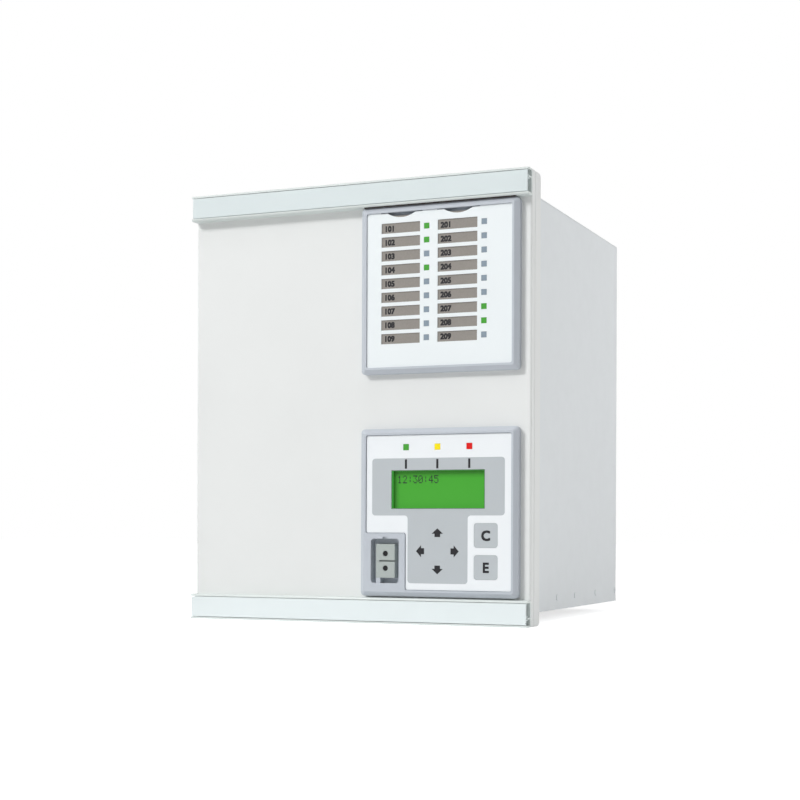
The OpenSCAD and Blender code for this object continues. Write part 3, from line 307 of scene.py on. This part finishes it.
def moulded(name, base, roughness=0.5, cell=0.35, height=0.012, ior=1.53):
    """Injection moulded plastic: a fine spark-eroded grain that scatters the light softly."""
    material, tree, place = new_material(name)
    close(tree, add(tree, "ShaderNodeBsdfPrincipled", {
        "Base Color": mottle(tree, place, base, 30, 0.015), "IOR": ior,
        "Roughness": rough(tree, place, roughness - 0.05, roughness + 0.05, 2),
        "Normal": grain(tree, place, cell, height)}))
    return material


def polyester_foil(name, base, roughness=0.38):
    """Polyester film printed on its back: a velvet surface that is very slightly uneven over its glue."""
    material, tree, place = new_material(name)
    close(tree, add(tree, "ShaderNodeBsdfPrincipled", {
        "Base Color": mottle(tree, place, base, 25, 0.006), "IOR": 1.6,
        "Roughness": rough(tree, place, roughness - 0.04, roughness + 0.04, 1.5),
        "Normal": grain(tree, place, 14, 0.04, 0.35)}))
    return material


def card_stock():
    """Uncoated card: matt, with paper fibres about 0.5 mm long."""
    material, tree, place = new_material("grey_card")
    close(tree, add(tree, "ShaderNodeBsdfPrincipled", {
        "Base Color": mottle(tree, place, colours().card, 1.2, 0.04), "IOR": 1.5,
        "Roughness": 0.75, "Normal": grain(tree, place, 0.5, 0.02, 0.6, (0.4, 1, 1))}))
    return material


def ink(name, base=None):
    """Screen-printed ink: a thin matt film with pinholes a tenth of a millimetre across."""
    material, tree, place = new_material(name)
    close(tree, add(tree, "ShaderNodeBsdfPrincipled", {
        "Base Color": mottle(tree, place, base or colours().ink, 0.4, 0.15), "IOR": 1.5,
        "Roughness": 0.5, "Normal": grain(tree, place, 0.1, 0.004)}))
    return material


def light_guide(name, base, glow):
    """Moulded acrylic rod with a matt end: its colour wavers slightly over cells of about 1.5 mm and glows at
    the given strength.
    """
    material, tree, place = new_material(name)
    tone = mottle(tree, place, base, 1.5, 0.05)
    close(tree, add(tree, "ShaderNodeBsdfPrincipled", {
        "Base Color": tone, "IOR": 1.49, "Roughness": 0.32, "Emission Color": tone,
        "Emission Strength": glow, "Normal": grain(tree, place, 0.5, 0.01)}))
    return material


def liquid_crystal():
    """Backlit display glass: green, with painted shade that darkens it towards the window's left and upper
    edge, and a polished face.
    """
    material, tree, place = new_material("display_glass_green_painted_edge_shade")
    lo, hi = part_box("display_glass")
    parts = add(tree, "ShaderNodeSeparateXYZ", {"Vector": place})
    left, top, band = lo.x + prints().glass_over, hi.z - prints().glass_over, 4.5 * MM
    # Painted shade: the green darkens to 0.45 at the window's left edge and to 0.5 at its upper edge, over a
    # band of 4.5 mm.
    across = add(tree, "ShaderNodeMapRange", {
        "Value": parts.outputs["X"], "From Min": left, "From Max": left + band,
        "To Min": 0.45, "To Max": 1.0})
    up = add(tree, "ShaderNodeMapRange", {
        "Value": parts.outputs["Z"], "From Min": top - band, "From Max": top,
        "To Min": 1.0, "To Max": 0.5})
    level = add(tree, "ShaderNodeMath", {0: across.outputs["Result"], 1: up.outputs["Result"]},
                operation="MULTIPLY")
    dots = add(tree, "ShaderNodeTexChecker", {
        "Vector": place, "Scale": per_metre(0.31), "Color1": tint(colours().display, 1.02),
        "Color2": tint(colours().display, 0.98)})
    tone = add(tree, "ShaderNodeMix", {
        "Factor": level.outputs[0], "A": (0, 0, 0, 1), "B": dots.outputs["Color"]}, data_type="RGBA")
    return material, tree, tone


def zinc_plate(name="zinc_plated_steel", tone="C9CDD0", roughness=0.3):
    """Bright zinc plating over turned steel: a cool metal with fine turning marks 0.15 mm apart."""
    material, tree, place = new_material(name)
    close(tree, add(tree, "ShaderNodeBsdfPrincipled", {
        "Base Color": mottle(tree, place, linear(tone), 2, 0.04), "Metallic": 1.0,
        "Roughness": rough(tree, place, roughness - 0.06, roughness + 0.08, 1),
        "Normal": grain(tree, place, 0.15, 0.006, 0.6)}))
    return material


def laminate():
    """Glass-epoxy circuit board: green solder mask over a glass weave 0.5 mm apart."""
    material, tree, place = new_material("glass_epoxy_laminate")
    base = linear("2F6F4A")
    weave = add(tree, "ShaderNodeTexWave", {"Vector": place, "Scale": per_metre(0.5) / (2 * math.pi)},
                bands_direction="DIAGONAL")
    bump = add(tree, "ShaderNodeBump", {
        "Height": weave.outputs["Fac"], "Distance": 0.01 * MM, "Strength": 0.5})
    close(tree, add(tree, "ShaderNodeBsdfPrincipled", {
        "Base Color": mottle(tree, place, base, 6, 0.1), "IOR": 1.55, "Roughness": 0.3,
        "Normal": bump.outputs["Normal"]}))
    return material


def copper_winding():
    """Coils taped with varnished paper over lacquered copper: turns about 0.8 mm apart along the height."""
    material, tree, place = new_material("varnished_winding")
    turns = add(tree, "ShaderNodeTexWave", {"Vector": place, "Scale": per_metre(0.8) / (2 * math.pi)},
                bands_direction="Z")
    bump = add(tree, "ShaderNodeBump", {
        "Height": turns.outputs["Fac"], "Distance": 0.15 * MM, "Strength": 0.8})
    close(tree, add(tree, "ShaderNodeBsdfPrincipled", {
        "Base Color": mottle(tree, place, linear("7A4A22"), 5, 0.2), "IOR": 1.5, "Roughness": 0.4,
        "Normal": bump.outputs["Normal"]}))
    return material


def ribbon_vinyl():
    """Grey vinyl ribbon: ribs of 1.27 mm pitch, one over each wire."""
    material, tree, place = new_material("ribbed_vinyl")
    ribs = add(tree, "ShaderNodeTexWave", {"Vector": place, "Scale": per_metre(1.27) / (2 * math.pi)},
               bands_direction="X")
    bump = add(tree, "ShaderNodeBump", {
        "Height": ribs.outputs["Fac"], "Distance": 0.3 * MM, "Strength": 0.8})
    close(tree, add(tree, "ShaderNodeBsdfPrincipled", {
        "Base Color": mottle(tree, place, linear("8B8F94"), 5, 0.04), "IOR": 1.53, "Roughness": 0.45,
        "Normal": bump.outputs["Normal"]}))
    return material


def dress(material, *nodes):
    """Give CAD nodes one material."""
    for name in nodes:
        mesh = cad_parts[name].data
        mesh.materials.clear()
        mesh.materials.append(material)


def soften(radius, *nodes, segments=2, angle=35):
    """Round the sharp edges of CAD nodes with modifiers, and leave their meshes alone."""
    for name in nodes:
        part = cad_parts[name]
        weld = part.modifiers.new("join", "WELD")
        weld.merge_threshold = 0.001 * MM
        flat = part.modifiers.new("flat", "DECIMATE")
        flat.decimate_type = "DISSOLVE"
        flat.angle_limit = math.radians(0.5)
        edge = part.modifiers.new("edge", "BEVEL")
        edge.width = radius
        edge.segments = segments
        edge.limit_method = "ANGLE"
        edge.angle_limit = math.radians(angle)
        edge.use_clamp_overlap = True
        edge.harden_normals = False


def piece(name, mesh, material, body=BODY):
    """Put a mesh in the scene as a piece that rides on a body."""
    mesh.materials.clear()
    mesh.materials.append(material)
    made = bpy.data.objects.new(name, mesh)
    bpy.context.scene.collection.objects.link(made)
    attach(made, body)
    return made


def flat_shapes(name, outlines, front, back):
    """Mesh of flat outlines in X and Z, each given as its corners, from one depth to another."""
    mesh = bpy.data.meshes.new(name)
    bm = bmesh.new()
    for outline in outlines:
        low = [bm.verts.new((x, front, z)) for x, z in outline]
        high = [bm.verts.new((x, back, z)) for x, z in outline]
        bm.faces.new(low)
        bm.faces.new(reversed(high))
        for i, corner in enumerate(low):
            j = (i + 1) % len(low)
            bm.faces.new((corner, high[i], high[j], low[j]))
    bmesh.ops.recalc_face_normals(bm, faces=bm.faces)
    bm.to_mesh(mesh)
    bm.free()
    return mesh


def rectangle(x0, x1, z0, z1):
    """Corners of a rectangle."""
    return [(x0, z0), (x1, z0), (x1, z1), (x0, z1)]


def rounded(x0, x1, z0, z1, radius, steps=6):
    """Points of a rectangle with round corners."""
    points = []
    for turn, (x, z) in enumerate(((x1 - radius, z1 - radius), (x0 + radius, z1 - radius),
                                   (x0 + radius, z0 + radius), (x1 - radius, z0 + radius))):
        for step in range(steps + 1):
            angle = (turn + step / steps) * math.pi / 2
            points.append((x + radius * math.cos(angle), z + radius * math.sin(angle)))
    return points


def rings(name, pairs, front, back):
    """Mesh of flat rings, each between an outer and an inner outline of as many points."""
    mesh = bpy.data.meshes.new(name)
    bm = bmesh.new()
    for outer, inner in pairs:
        loops = [[bm.verts.new((x, y, z)) for x, z in outline]
                 for outline, y in ((outer, front), (outer, back), (inner, back), (inner, front))]
        for i in range(len(outer)):
            j = (i + 1) % len(outer)
            for near, far in zip(loops, loops[1:] + loops[:1]):
                bm.faces.new((near[i], near[j], far[j], far[i]))
    bmesh.ops.recalc_face_normals(bm, faces=bm.faces)
    bm.to_mesh(mesh)
    bm.free()
    return mesh


def extruded(name, profile, x0, x1):
    """Mesh of one outline in Y and Z, drawn out along the width."""
    mesh = bpy.data.meshes.new(name)
    bm = bmesh.new()
    left = [bm.verts.new((x0, y, z)) for y, z in profile]
    right = [bm.verts.new((x1, y, z)) for y, z in profile]
    bm.faces.new(left)
    bm.faces.new(reversed(right))
    for i in range(len(profile)):
        j = (i + 1) % len(profile)
        bm.faces.new((left[i], right[i], right[j], left[j]))
    bmesh.ops.recalc_face_normals(bm, faces=bm.faces)
    bm.to_mesh(mesh)
    bm.free()
    return mesh


def turned(bm, centre, profile, sides, pitch=0.0, depth=0.0):
    """Add a body turned about the depth axis from pairs of depth and radius, threaded if a pitch is given."""
    loops = []
    for y, radius in profile:
        loop = []
        for side in range(sides):
            angle = 2 * math.pi * side / sides
            cut = depth * abs(2 * ((y / pitch - side / sides) % 1) - 1) if pitch else 0
            x, z = (radius - cut) * math.cos(angle), (radius - cut) * math.sin(angle)
            loop.append(bm.verts.new((centre[0] + x, y, centre[1] + z)))
        loops.append(loop)
    for near, far in zip(loops, loops[1:]):
        for i in range(sides):
            j = (i + 1) % sides
            bm.faces.new((near[i], near[j], far[j], far[i]))
    bm.faces.new(loops[0])
    bm.faces.new(reversed(loops[-1]))


def lettering(name, lines, height, front, bold):
    """Mesh of short texts, with their place and alignment; shifted copies make the strokes bold."""
    bm = bmesh.new()
    upright = Matrix.Rotation(math.pi / 2, 4, "X")
    for words, x, z, align in lines:
        curve = bpy.data.curves.new(name, "FONT")
        curve.body = words
        curve.size = height / CAPITAL_SHARE
        curve.align_x = align
        curve.align_y = "CENTER"
        curve.resolution_u = 3
        curve.extrude = prints().print_t / 2
        text = bpy.data.objects.new(name, curve)
        part = text.to_mesh()
        part.transform(Matrix.Translation((x, front - prints().print_t / 2, z)) @ upright)
        for copy in range(9):
            shift = Vector(((copy % 3 - 1) * bold, copy * prints().print_t / 20, (copy // 3 - 1) * bold))
            part.transform(Matrix.Translation(shift))
            bm.from_mesh(part)
            part.transform(Matrix.Translation(-shift))
        text.to_mesh_clear()
        bpy.data.objects.remove(text)
        bpy.data.curves.remove(curve)
    mesh = bpy.data.meshes.new(name)
    bm.to_mesh(mesh)
    bm.free()
    return mesh


# Dot patterns of the display's figures, row by row from the top
FIGURES = {
    "0": (".###.", "#...#", "#..##", "#.#.#", "##..#", "#...#", ".###."),
    "1": ("..#..", ".##..", "..#..", "..#..", "..#..", "..#..", ".###."),
    "2": (".###.", "#...#", "....#", "...#.", "..#..", ".#...", "#####"),
    "3": ("#####", "...#.", "..#..", "...#.", "....#", "#...#", ".###."),
    "4": ("...#.", "..##.", ".#.#.", "#..#.", "#####", "...#.", "...#."),
    "5": ("#####", "#....", "####.", "....#", "....#", "#...#", ".###."),
    "6": ("..##.", ".#...", "#....", "####.", "#...#", "#...#", ".###."),
    "7": ("#####", "....#", "...#.", "..#..", ".#...", ".#...", ".#..."),
    "8": (".###.", "#...#", "#...#", ".###.", "#...#", "#...#", ".###."),
    "9": (".###.", "#...#", "#...#", ".####", "....#", "...#.", ".##.."),
    ":": (".....", "..#..", "..#..", ".....", "..#..", "..#..", "....."),
}


class RELAY_OT_studio(Operator):
    """Place the camera, the floor and the lamps"""
    bl_idname = "relay.studio"
    bl_label = "Studio"

    def execute(self, context):
        studio = context.scene.relay_studio
        self.camera(context, studio)
        self.floor(studio)
        self.lamps(context, studio)
        return {"FINISHED"}

    def camera(self, context, studio):
        """Camera at the picture's own place, turned to the relay's front."""
        data = bpy.data.cameras.new("camera")
        data.lens = studio.lens
        data.shift_x, data.shift_y = studio.shift
        data.clip_start, data.clip_end = 0.05, 20
        camera = bpy.data.objects.new("camera", data)
        camera.location = studio.place
        upright = Euler((math.pi / 2 + studio.pitch, 0, studio.turn)).to_matrix().to_4x4()
        camera.rotation_euler = (upright @ Matrix.Rotation(studio.roll, 4, "Z")).to_euler()
        context.scene.collection.objects.link(camera)
        context.scene.camera = camera

    def floor(self, studio):
        """Pale matt board under the relay that keeps its shadow and reads as the white ground."""
        mesh = bpy.data.meshes.new("floor")
        corners = [(x, y, 0) for x, y in rectangle(-FLOOR_HALF, FLOOR_HALF, -FLOOR_HALF, FLOOR_HALF)]
        mesh.from_pydata(corners, [], [(0, 1, 2, 3)])
        board = bpy.data.objects.new("floor", mesh)
        bpy.context.scene.collection.objects.link(board)
        material, tree, place = new_material("matt_white_board")
        seen = add(tree, "ShaderNodeLightPath")
        matt = add(tree, "ShaderNodeBsdfPrincipled", {
            "Base Color": mottle(tree, place, linear("F2F2F2"), 15, 0.004), "Roughness": 0.9,
            "Specular IOR Level": 0.1})
        share = add(tree, "ShaderNodeMath", {
            0: seen.outputs["Is Camera Ray"], 1: studio.floor_lift}, operation="MULTIPLY")
        white = add(tree, "ShaderNodeEmission", {"Color": (1, 1, 1, 1), "Strength": share.outputs[0]})
        close(tree, add(tree, "ShaderNodeAddShader", {0: matt.outputs[0], 1: white.outputs[0]}))
        mesh.materials.append(material)

    def lamps(self, context, studio):
        """Even room light, a large lamp high at the front left, one above, and one for the right side."""
        for name, place, size, power in (
                ("key_lamp", (-3.22, -4.9, 3.95), 1.7, studio.key_power),
                ("top_lamp", (0, -0.8, 2.2), 1.6, studio.top_power),
                ("side_lamp", (1.1, 0.6, 0.3), 0.6, studio.side_power)):
            data = bpy.data.lights.new(name, "AREA")
            data.shape = "SQUARE"
            data.size = size
            data.energy = power
            lamp = bpy.data.objects.new(name, data)
            lamp.location = place
            aim = LAMP_AIM - Vector(place)
            lamp.rotation_euler = aim.to_track_quat("-Z", "Y").to_euler()
            context.scene.collection.objects.link(lamp)
        world = bpy.data.worlds.new("room")
        context.scene.world = world
        world.use_nodes = True
        tree = world.node_tree
        tree.nodes.clear()
        seen = add(tree, "ShaderNodeLightPath")
        level = add(tree, "ShaderNodeMapRange", {
            "Value": seen.outputs["Is Camera Ray"], "To Min": studio.ambient, "To Max": 1.0})
        light = add(tree, "ShaderNodeBackground", {
            "Color": (1, 1, 1, 1), "Strength": level.outputs["Result"]})
        add(tree, "ShaderNodeOutputWorld", {"Surface": light.outputs[0]})
        context.scene.view_settings.view_transform = "Standard"


class RELAY_OT_front(Operator):
    """Paint the front plate and the mounting frame, and round their edges"""
    bl_idname = "relay.front"
    bl_label = "Front and frame"

    def execute(self, context):
        dress(powder_coat("powder_coat_light_grey", colours().paint), "front_plate", "mounting_frame")
        soften(prints().fold_r, "front_plate", "mounting_frame")
        return {"FINISHED"}


class RELAY_OT_rails(Operator):
    """Finish the rails and their label strips"""
    bl_idname = "relay.rails"
    bl_label = "Rails"

    def execute(self, context):
        shades = colours()
        dress(lacquered("lacquered_extrusion", shades.rail, 0.4, 0.012), "top_rail", "bottom_rail")
        # Painted shade on the upper strip and painted light on the lower strip: two tones of one lacquer.
        dress(lacquered("lacquered_strip_upper_painted_shade", shades.strip, 0.6, 0.008), "top_label_strip")
        dress(lacquered("lacquered_strip_lower_painted_light", shades.lower_strip_painted_light, 0.6, 0.008), "bottom_label_strip")
        soften(prints().extrusion_r, "top_rail", "bottom_rail", "top_label_strip", "bottom_label_strip")
        self.seal()
        return {"FINISHED"}

    def seal(self):
        """Rubber seal that fills the gap between the upper rail and the indicator bezel, beaded in front; its
        near-black colour also paints the gap's deep shadow.
        """
        bezel_lo, bezel_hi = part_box("led_bezel")
        inset, gap = prints().seal_inset, prints().seal_gap
        face, under = bezel_lo.y + gap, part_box("top_rail")[0].z - gap / 5
        lip, back = bezel_hi.z + gap / 3, bezel_lo.y + inset
        bead = under - prints().seal_h
        profile = [(face, under), (face, bead), (face + prints().seal_h, bead), (back, lip),
                   (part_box("top_rail")[1].y - gap, lip), (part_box("top_rail")[1].y - gap, under)]
        mesh = extruded("upper_seal_painted_shadow", profile, bezel_lo.x + inset, bezel_hi.x - inset)
        piece("upper_seal_painted_shadow", mesh, rubber("rubber_seal_painted_gap_shadow", colours().seal))


class RELAY_OT_case(Operator):
    """Finish the case, its rivets and the rear plates"""
    bl_idname = "relay.case"
    bl_label = "Case"

    def execute(self, context):
        dress(coated_sheet(), "case_hood", "case_bottom", "case_rivets", "module_plates", "transformer_plate")
        soften(prints().sheet_r, "case_hood", "case_bottom", "module_plates", "transformer_plate")
        return {"FINISHED"}


class RELAY_OT_bezels(Operator):
    """Finish the bezels, the foils and the printed field"""
    bl_idname = "relay.bezels"
    bl_label = "Bezels and foils"

    def execute(self, context):
        dress(moulded("moulded_abs_grey", colours().moulding), "led_bezel", "operator_bezel")
        dress(polyester_foil("polyester_foil_white", colours().foil), "operator_foil")
        dress(polyester_foil("polyester_foil_indicator", colours().led_foil), "led_foil")
        dress(polyester_foil("polyester_foil_grey", colours().field), "printed_field")
        soften(prints().mould_r, "led_bezel", "operator_bezel", angle=50)
        return {"FINISHED"}


class RELAY_OT_labels(Operator):
    """Finish the label cards and number them"""
    bl_idname = "relay.labels"
    bl_label = "Label cards"

    def execute(self, context):
        sizes = prints()
        dress(card_stock(), "left_label_card", "right_label_card")
        print_ink = ink("label_print")
        lit_lo, lit_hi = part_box("led_guides_lit")
        dark_lo, dark_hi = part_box("led_guides_unlit")
        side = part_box("status_guide_green")[1].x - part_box("status_guide_green")[0].x
        top = max(lit_hi.z, dark_hi.z) - side / 2
        bottom = min(lit_lo.z, dark_lo.z) + side / 2
        for column, node in enumerate(("left_label_card", "right_label_card")):
            lo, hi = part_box(node)
            lines = []
            for row in range(LABEL_ROWS):
                z = top + (bottom - top) * row / (LABEL_ROWS - 1) - sizes.label_drop
                number = str(sizes.first_label + LABEL_STEP * column + row)
                lines.append((number, lo.x + sizes.card_over + sizes.label_margin, z, "LEFT"))
            mesh = lettering(node + "_digits", lines, sizes.label_h, lo.y, sizes.label_bold)
            piece(node + "_digits", mesh, print_ink)
        return {"FINISHED"}


class RELAY_OT_lights(Operator):
    """Finish the light guides and print the marks under the status lights"""
    bl_idname = "relay.lights"
    bl_label = "Indicator lights"

    def execute(self, context):
        shades = colours()
        green = light_guide("acrylic_lit_green", shades.lit_green, 0.06)
        dress(green, "led_guides_lit", "status_guide_green")
        dress(light_guide("acrylic_lit_yellow", shades.lit_yellow, 0.06), "status_guide_yellow")
        dress(light_guide("acrylic_lit_red", shades.lit_red, 0.08), "status_guide_red")
        dress(light_guide("acrylic_unlit", shades.unlit, 0.0), "led_guides_unlit")
        sizes = prints()
        marks = []
        for node in ("status_guide_green", "status_guide_yellow", "status_guide_red"):
            lo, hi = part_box(node)
            x, z = (lo.x + hi.x) / 2, (lo.z + hi.z) / 2 - sizes.tick_drop
            marks.append(rectangle(
                x - sizes.tick_w / 2, x + sizes.tick_w / 2, z - sizes.tick_h / 2, z + sizes.tick_h / 2))
        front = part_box("printed_field")[0].y
        mesh = flat_shapes("status_marks", marks, front - sizes.print_t, front)
        piece("status_marks", mesh, ink("mark_print"))
        return {"FINISHED"}


class RELAY_OT_display(Operator):
    """Light the display and write its reading in dots"""
    bl_idname = "relay.display"
    bl_label = "Display"

    def execute(self, context):
        sizes = prints()
        material, tree, tone = liquid_crystal()
        close(tree, add(tree, "ShaderNodeBsdfPrincipled", {
            "Base Color": tone.outputs["Result"], "IOR": 1.52, "Roughness": 0.15,
            "Emission Color": tone.outputs["Result"], "Emission Strength": 0.35}))
        dress(material, "display_glass")
        lo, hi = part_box("display_glass")
        wide, tall = sizes.dot
        left = lo.x + sizes.glass_over + sizes.reading_at[0]
        top = hi.z - sizes.glass_over - sizes.reading_at[1]
        outlines = []
        for place, figure in enumerate(sizes.reading):
            for row, line in enumerate(FIGURES[figure]):
                for column, mark in enumerate(line):
                    if mark == "#":
                        x = left + (6 * place + column) * wide
                        z = top - row * tall
                        outlines.append(rectangle(x, x + wide, z - DOT_SHARE * tall, z))
        mesh = flat_shapes("display_dots", outlines, lo.y - sizes.print_t, lo.y)
        piece("display_dots", mesh, ink("crystal_dots", colours().crystal))
        self.lining(sizes, lo, hi)
        return {"FINISHED"}

    def lining(self, sizes, lo, hi):
        """Sleeve in the window that glows green as painted light, standing for the display's light on the
        window's walls, and the line printed around it.
        """
        front, over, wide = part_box("printed_field")[0].y, sizes.glass_over, sizes.outline_w
        edge, inside, outside = (rectangle(lo.x + over + grow, hi.x - over - grow, lo.z + over + grow,
                                           hi.z - over - grow) for grow in (0, sizes.lining_w, -wide))
        mesh = rings("display_lining_painted_glow", [(edge, inside)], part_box("operator_foil")[0].y, lo.y)
        # Painted light: the sleeve glows to stand for the display's green light on the window's walls.
        glow = light_guide("lining_painted_spill_glow", colours().lining, 0.7)
        piece("display_lining_painted_glow", mesh, glow)
        mesh = rings("display_outline", [(outside, edge)], front - sizes.print_t, front)
        piece("display_outline", mesh, ink("outline_print", colours().outline))


class RELAY_OT_keys(Operator):
    """Finish the keys and print their arrows and letters"""
    bl_idname = "relay.keys"
    bl_label = "Keys"

    def execute(self, context):
        names = ("key_c", "key_e", "key_up", "key_down", "key_left", "key_right")
        dress(polyester_foil("polyester_foil_key", colours().field, 0.42), *names)
        soften(prints().key_edge_r, "key_c", "key_e", angle=50)
        print_ink = ink("key_print")
        sizes = prints()
        for name, letter in (("key_c", "C"), ("key_e", "E")):
            centre, front = self.middle(name)
            place = (letter, centre[0], centre[1] - sizes.key_letter_drop, "CENTER")
            mesh = lettering(name + "_letter", [place], sizes.key_letter_h, front, sizes.key_bold)
            piece(name + "_letter", mesh, print_ink, name)
        surrounds = []
        for quarter, name in enumerate(("key_up", "key_left", "key_down", "key_right")):
            centre, front = self.middle(name)
            mesh = flat_shapes(name + "_arrow", [self.arrow(centre, quarter)], front - sizes.print_t, front)
            piece(name + "_arrow", mesh, print_ink, name)
            surrounds.append(self.surround(centre))
        front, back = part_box("printed_field")[0].y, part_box("operator_foil")[1].y
        mesh = rings("key_surrounds", surrounds, front, back)
        piece("key_surrounds", mesh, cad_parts["printed_field"].data.materials[0])
        return {"FINISHED"}

    def surround(self, centre):
        """Outer and inner outline of the film's edge in the gap around an arrow key."""
        sizes = prints()
        half = sizes.arrow_key / 2
        outlines = []
        for grow in (sizes.key_gap, sizes.key_gap / 5):
            reach = half + grow
            outlines.append(rounded(
                centre[0] - reach, centre[0] + reach, centre[1] - reach, centre[1] + reach, sizes.key_r))
        return outlines

    def middle(self, node):
        """Middle of a key's face, and the depth of the face."""
        lo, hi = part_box(node)
        return ((lo.x + hi.x) / 2, (lo.z + hi.z) / 2), lo.y

    def arrow(self, centre, quarter):
        """Corners of an arrow that points up, turned by quarters to the left."""
        sizes = prints()
        half, wing = sizes.arrow_length / 2, sizes.arrow_width / 2
        neck, shaft = -0.12 * sizes.arrow_length, 0.25 * sizes.arrow_width
        points = [(0, half), (-wing, neck), (-shaft, neck), (-shaft, -half),
                  (shaft, -half), (shaft, neck), (wing, neck)]
        turn = Matrix.Rotation(quarter * math.pi / 2, 2)
        return [tuple(turn @ Vector(p) + Vector(centre)) for p in points]


class RELAY_OT_port(Operator):
    """Finish the optical port"""
    bl_idname = "relay.port"
    bl_label = "Optical port"

    def execute(self, context):
        dress(moulded("moulded_polycarbonate", colours().optics, 0.4), "optical_block")
        dress(moulded("tinted_epoxy_diode", linear("0F1113"), 0.3, 0.5, 0.002), "optical_diodes")
        return {"FINISHED"}


class RELAY_OT_fasteners(Operator):
    """Plate the screws, the stud and the nut"""
    bl_idname = "relay.fasteners"
    bl_label = "Fasteners"

    def execute(self, context):
        plated = zinc_plate()
        dress(plated, "rail_screws", "bezel_screws", "board_screws", "rear_screws", "terminal_screws",
              "plug_screws", "earth_nut", "backplane_brackets", "display_frame")
        soften(prints().nut_r, "earth_nut")
        self.stud(plated)
        return {"FINISHED"}

    def stud(self, plated):
        """Earth stud with its rolled thread, which stands for the plain one of the CAD."""
        sizes = prints()
        lo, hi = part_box("earth_stud")
        centre = ((lo.x + hi.x) / 2, (lo.z + hi.z) / 2)
        seat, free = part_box("transformer_plate")[0].y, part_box("earth_nut")[1].y + sizes.root_over
        bm = bmesh.new()
        turned(bm, centre, [(lo.y, (hi.x - lo.x) / 2), (seat, (hi.x - lo.x) / 2)], 6)
        turned(bm, centre, [(seat, sizes.root_r), (free, sizes.root_r)], STUD_SIDES)
        rows = round((hi.y - free) / sizes.thread_pitch) * THREAD_STEPS
        tip = sizes.stud_r - sizes.thread_pitch
        thread = []
        for row in range(rows + 1):
            y = free + (hi.y - free) * row / rows
            thread.append((y, min(sizes.stud_r, tip + hi.y - y)))
        turned(bm, centre, thread, STUD_SIDES, sizes.thread_pitch, sizes.thread_depth)
        bmesh.ops.recalc_face_normals(bm, faces=bm.faces)
        mesh = bpy.data.meshes.new("threaded_stud")
        bm.to_mesh(mesh)
        bm.free()
        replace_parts(piece("threaded_stud", mesh, plated), "earth_stud")


class RELAY_OT_rear(Operator):
    """Finish the terminals, plugs and fibre connectors at the rear"""
    bl_idname = "relay.rear"
    bl_label = "Rear connections"

    def execute(self, context):
        dress(moulded("moulded_pbt_green", colours().plug, 0.45), "headers", "wiring_plugs")
        dress(moulded("moulded_pbt_black", linear("2B2C2E"), 0.45), "terminal_block", "fibre_connectors",
              "key_switches", "ribbon_plugs", "upper_card_guides", "lower_card_guides", "card_components")
        soften(prints().mould_r, "terminal_block", "headers", "wiring_plugs", "fibre_connectors")
        return {"FINISHED"}


class RELAY_OT_inside(Operator):
    """Finish the boards, cards, relays and coils inside the case"""
    bl_idname = "relay.inside"
    bl_label = "Inside"

    def execute(self, context):
        dress(laminate(), "led_board", "operator_board", "backplane", "plug_in_cards")
        dress(moulded("moulded_relay_case", linear("D8D9D4"), 0.4), "output_relays", "indicator_chips",
              "backplane_sockets")
        dress(copper_winding(), "input_transformers")
        dress(ribbon_vinyl(), "ribbon_cable")
        return {"FINISHED"}


OPERATORS = (
    RELAY_OT_studio, RELAY_OT_front, RELAY_OT_rails, RELAY_OT_case, RELAY_OT_bezels, RELAY_OT_labels,
    RELAY_OT_lights, RELAY_OT_display, RELAY_OT_keys, RELAY_OT_port, RELAY_OT_fasteners, RELAY_OT_rear,
    RELAY_OT_inside,
)


class RELAY_PT_build(Panel):
    """Sizes, colours and steps of the relay"""
    bl_idname = "RELAY_PT_build"
    bl_label = "Protection relay"
    bl_space_type = "VIEW_3D"
    bl_region_type = "UI"
    bl_category = "Relay"

    def draw(self, context):
        for group in (context.scene.relay_prints, context.scene.relay_colours, context.scene.relay_studio):
            box = self.layout.box()
            for name in group.bl_rna.properties.keys():
                if name not in ("rna_type", "name"):
                    box.prop(group, name)
        for step in OPERATORS:
            self.layout.operator(step.bl_idname)


GROUPS = {"relay_colours": RelayColours, "relay_prints": RelayPrints, "relay_studio": RelayStudio}
CLASSES = tuple(GROUPS.values()) + OPERATORS + (RELAY_PT_build,)


def register():
    """Register the classes and give the scene its settings."""
    for cls in CLASSES:
        bpy.utils.register_class(cls)
    for name, group in GROUPS.items():
        setattr(bpy.types.Scene, name, PointerProperty(type=group))


def unregister():
    """Take the settings and the classes away again."""
    for name in GROUPS:
        delattr(bpy.types.Scene, name)
    for cls in reversed(CLASSES):
        bpy.utils.unregister_class(cls)


def main():
    """Build the whole picture, step by step."""
    register()
    for step in OPERATORS:
        group, name = step.bl_idname.split(".")
        getattr(getattr(bpy.ops, group), name)()
    bpy.context.view_layer.update()


if __name__ == "__main__":
    main()
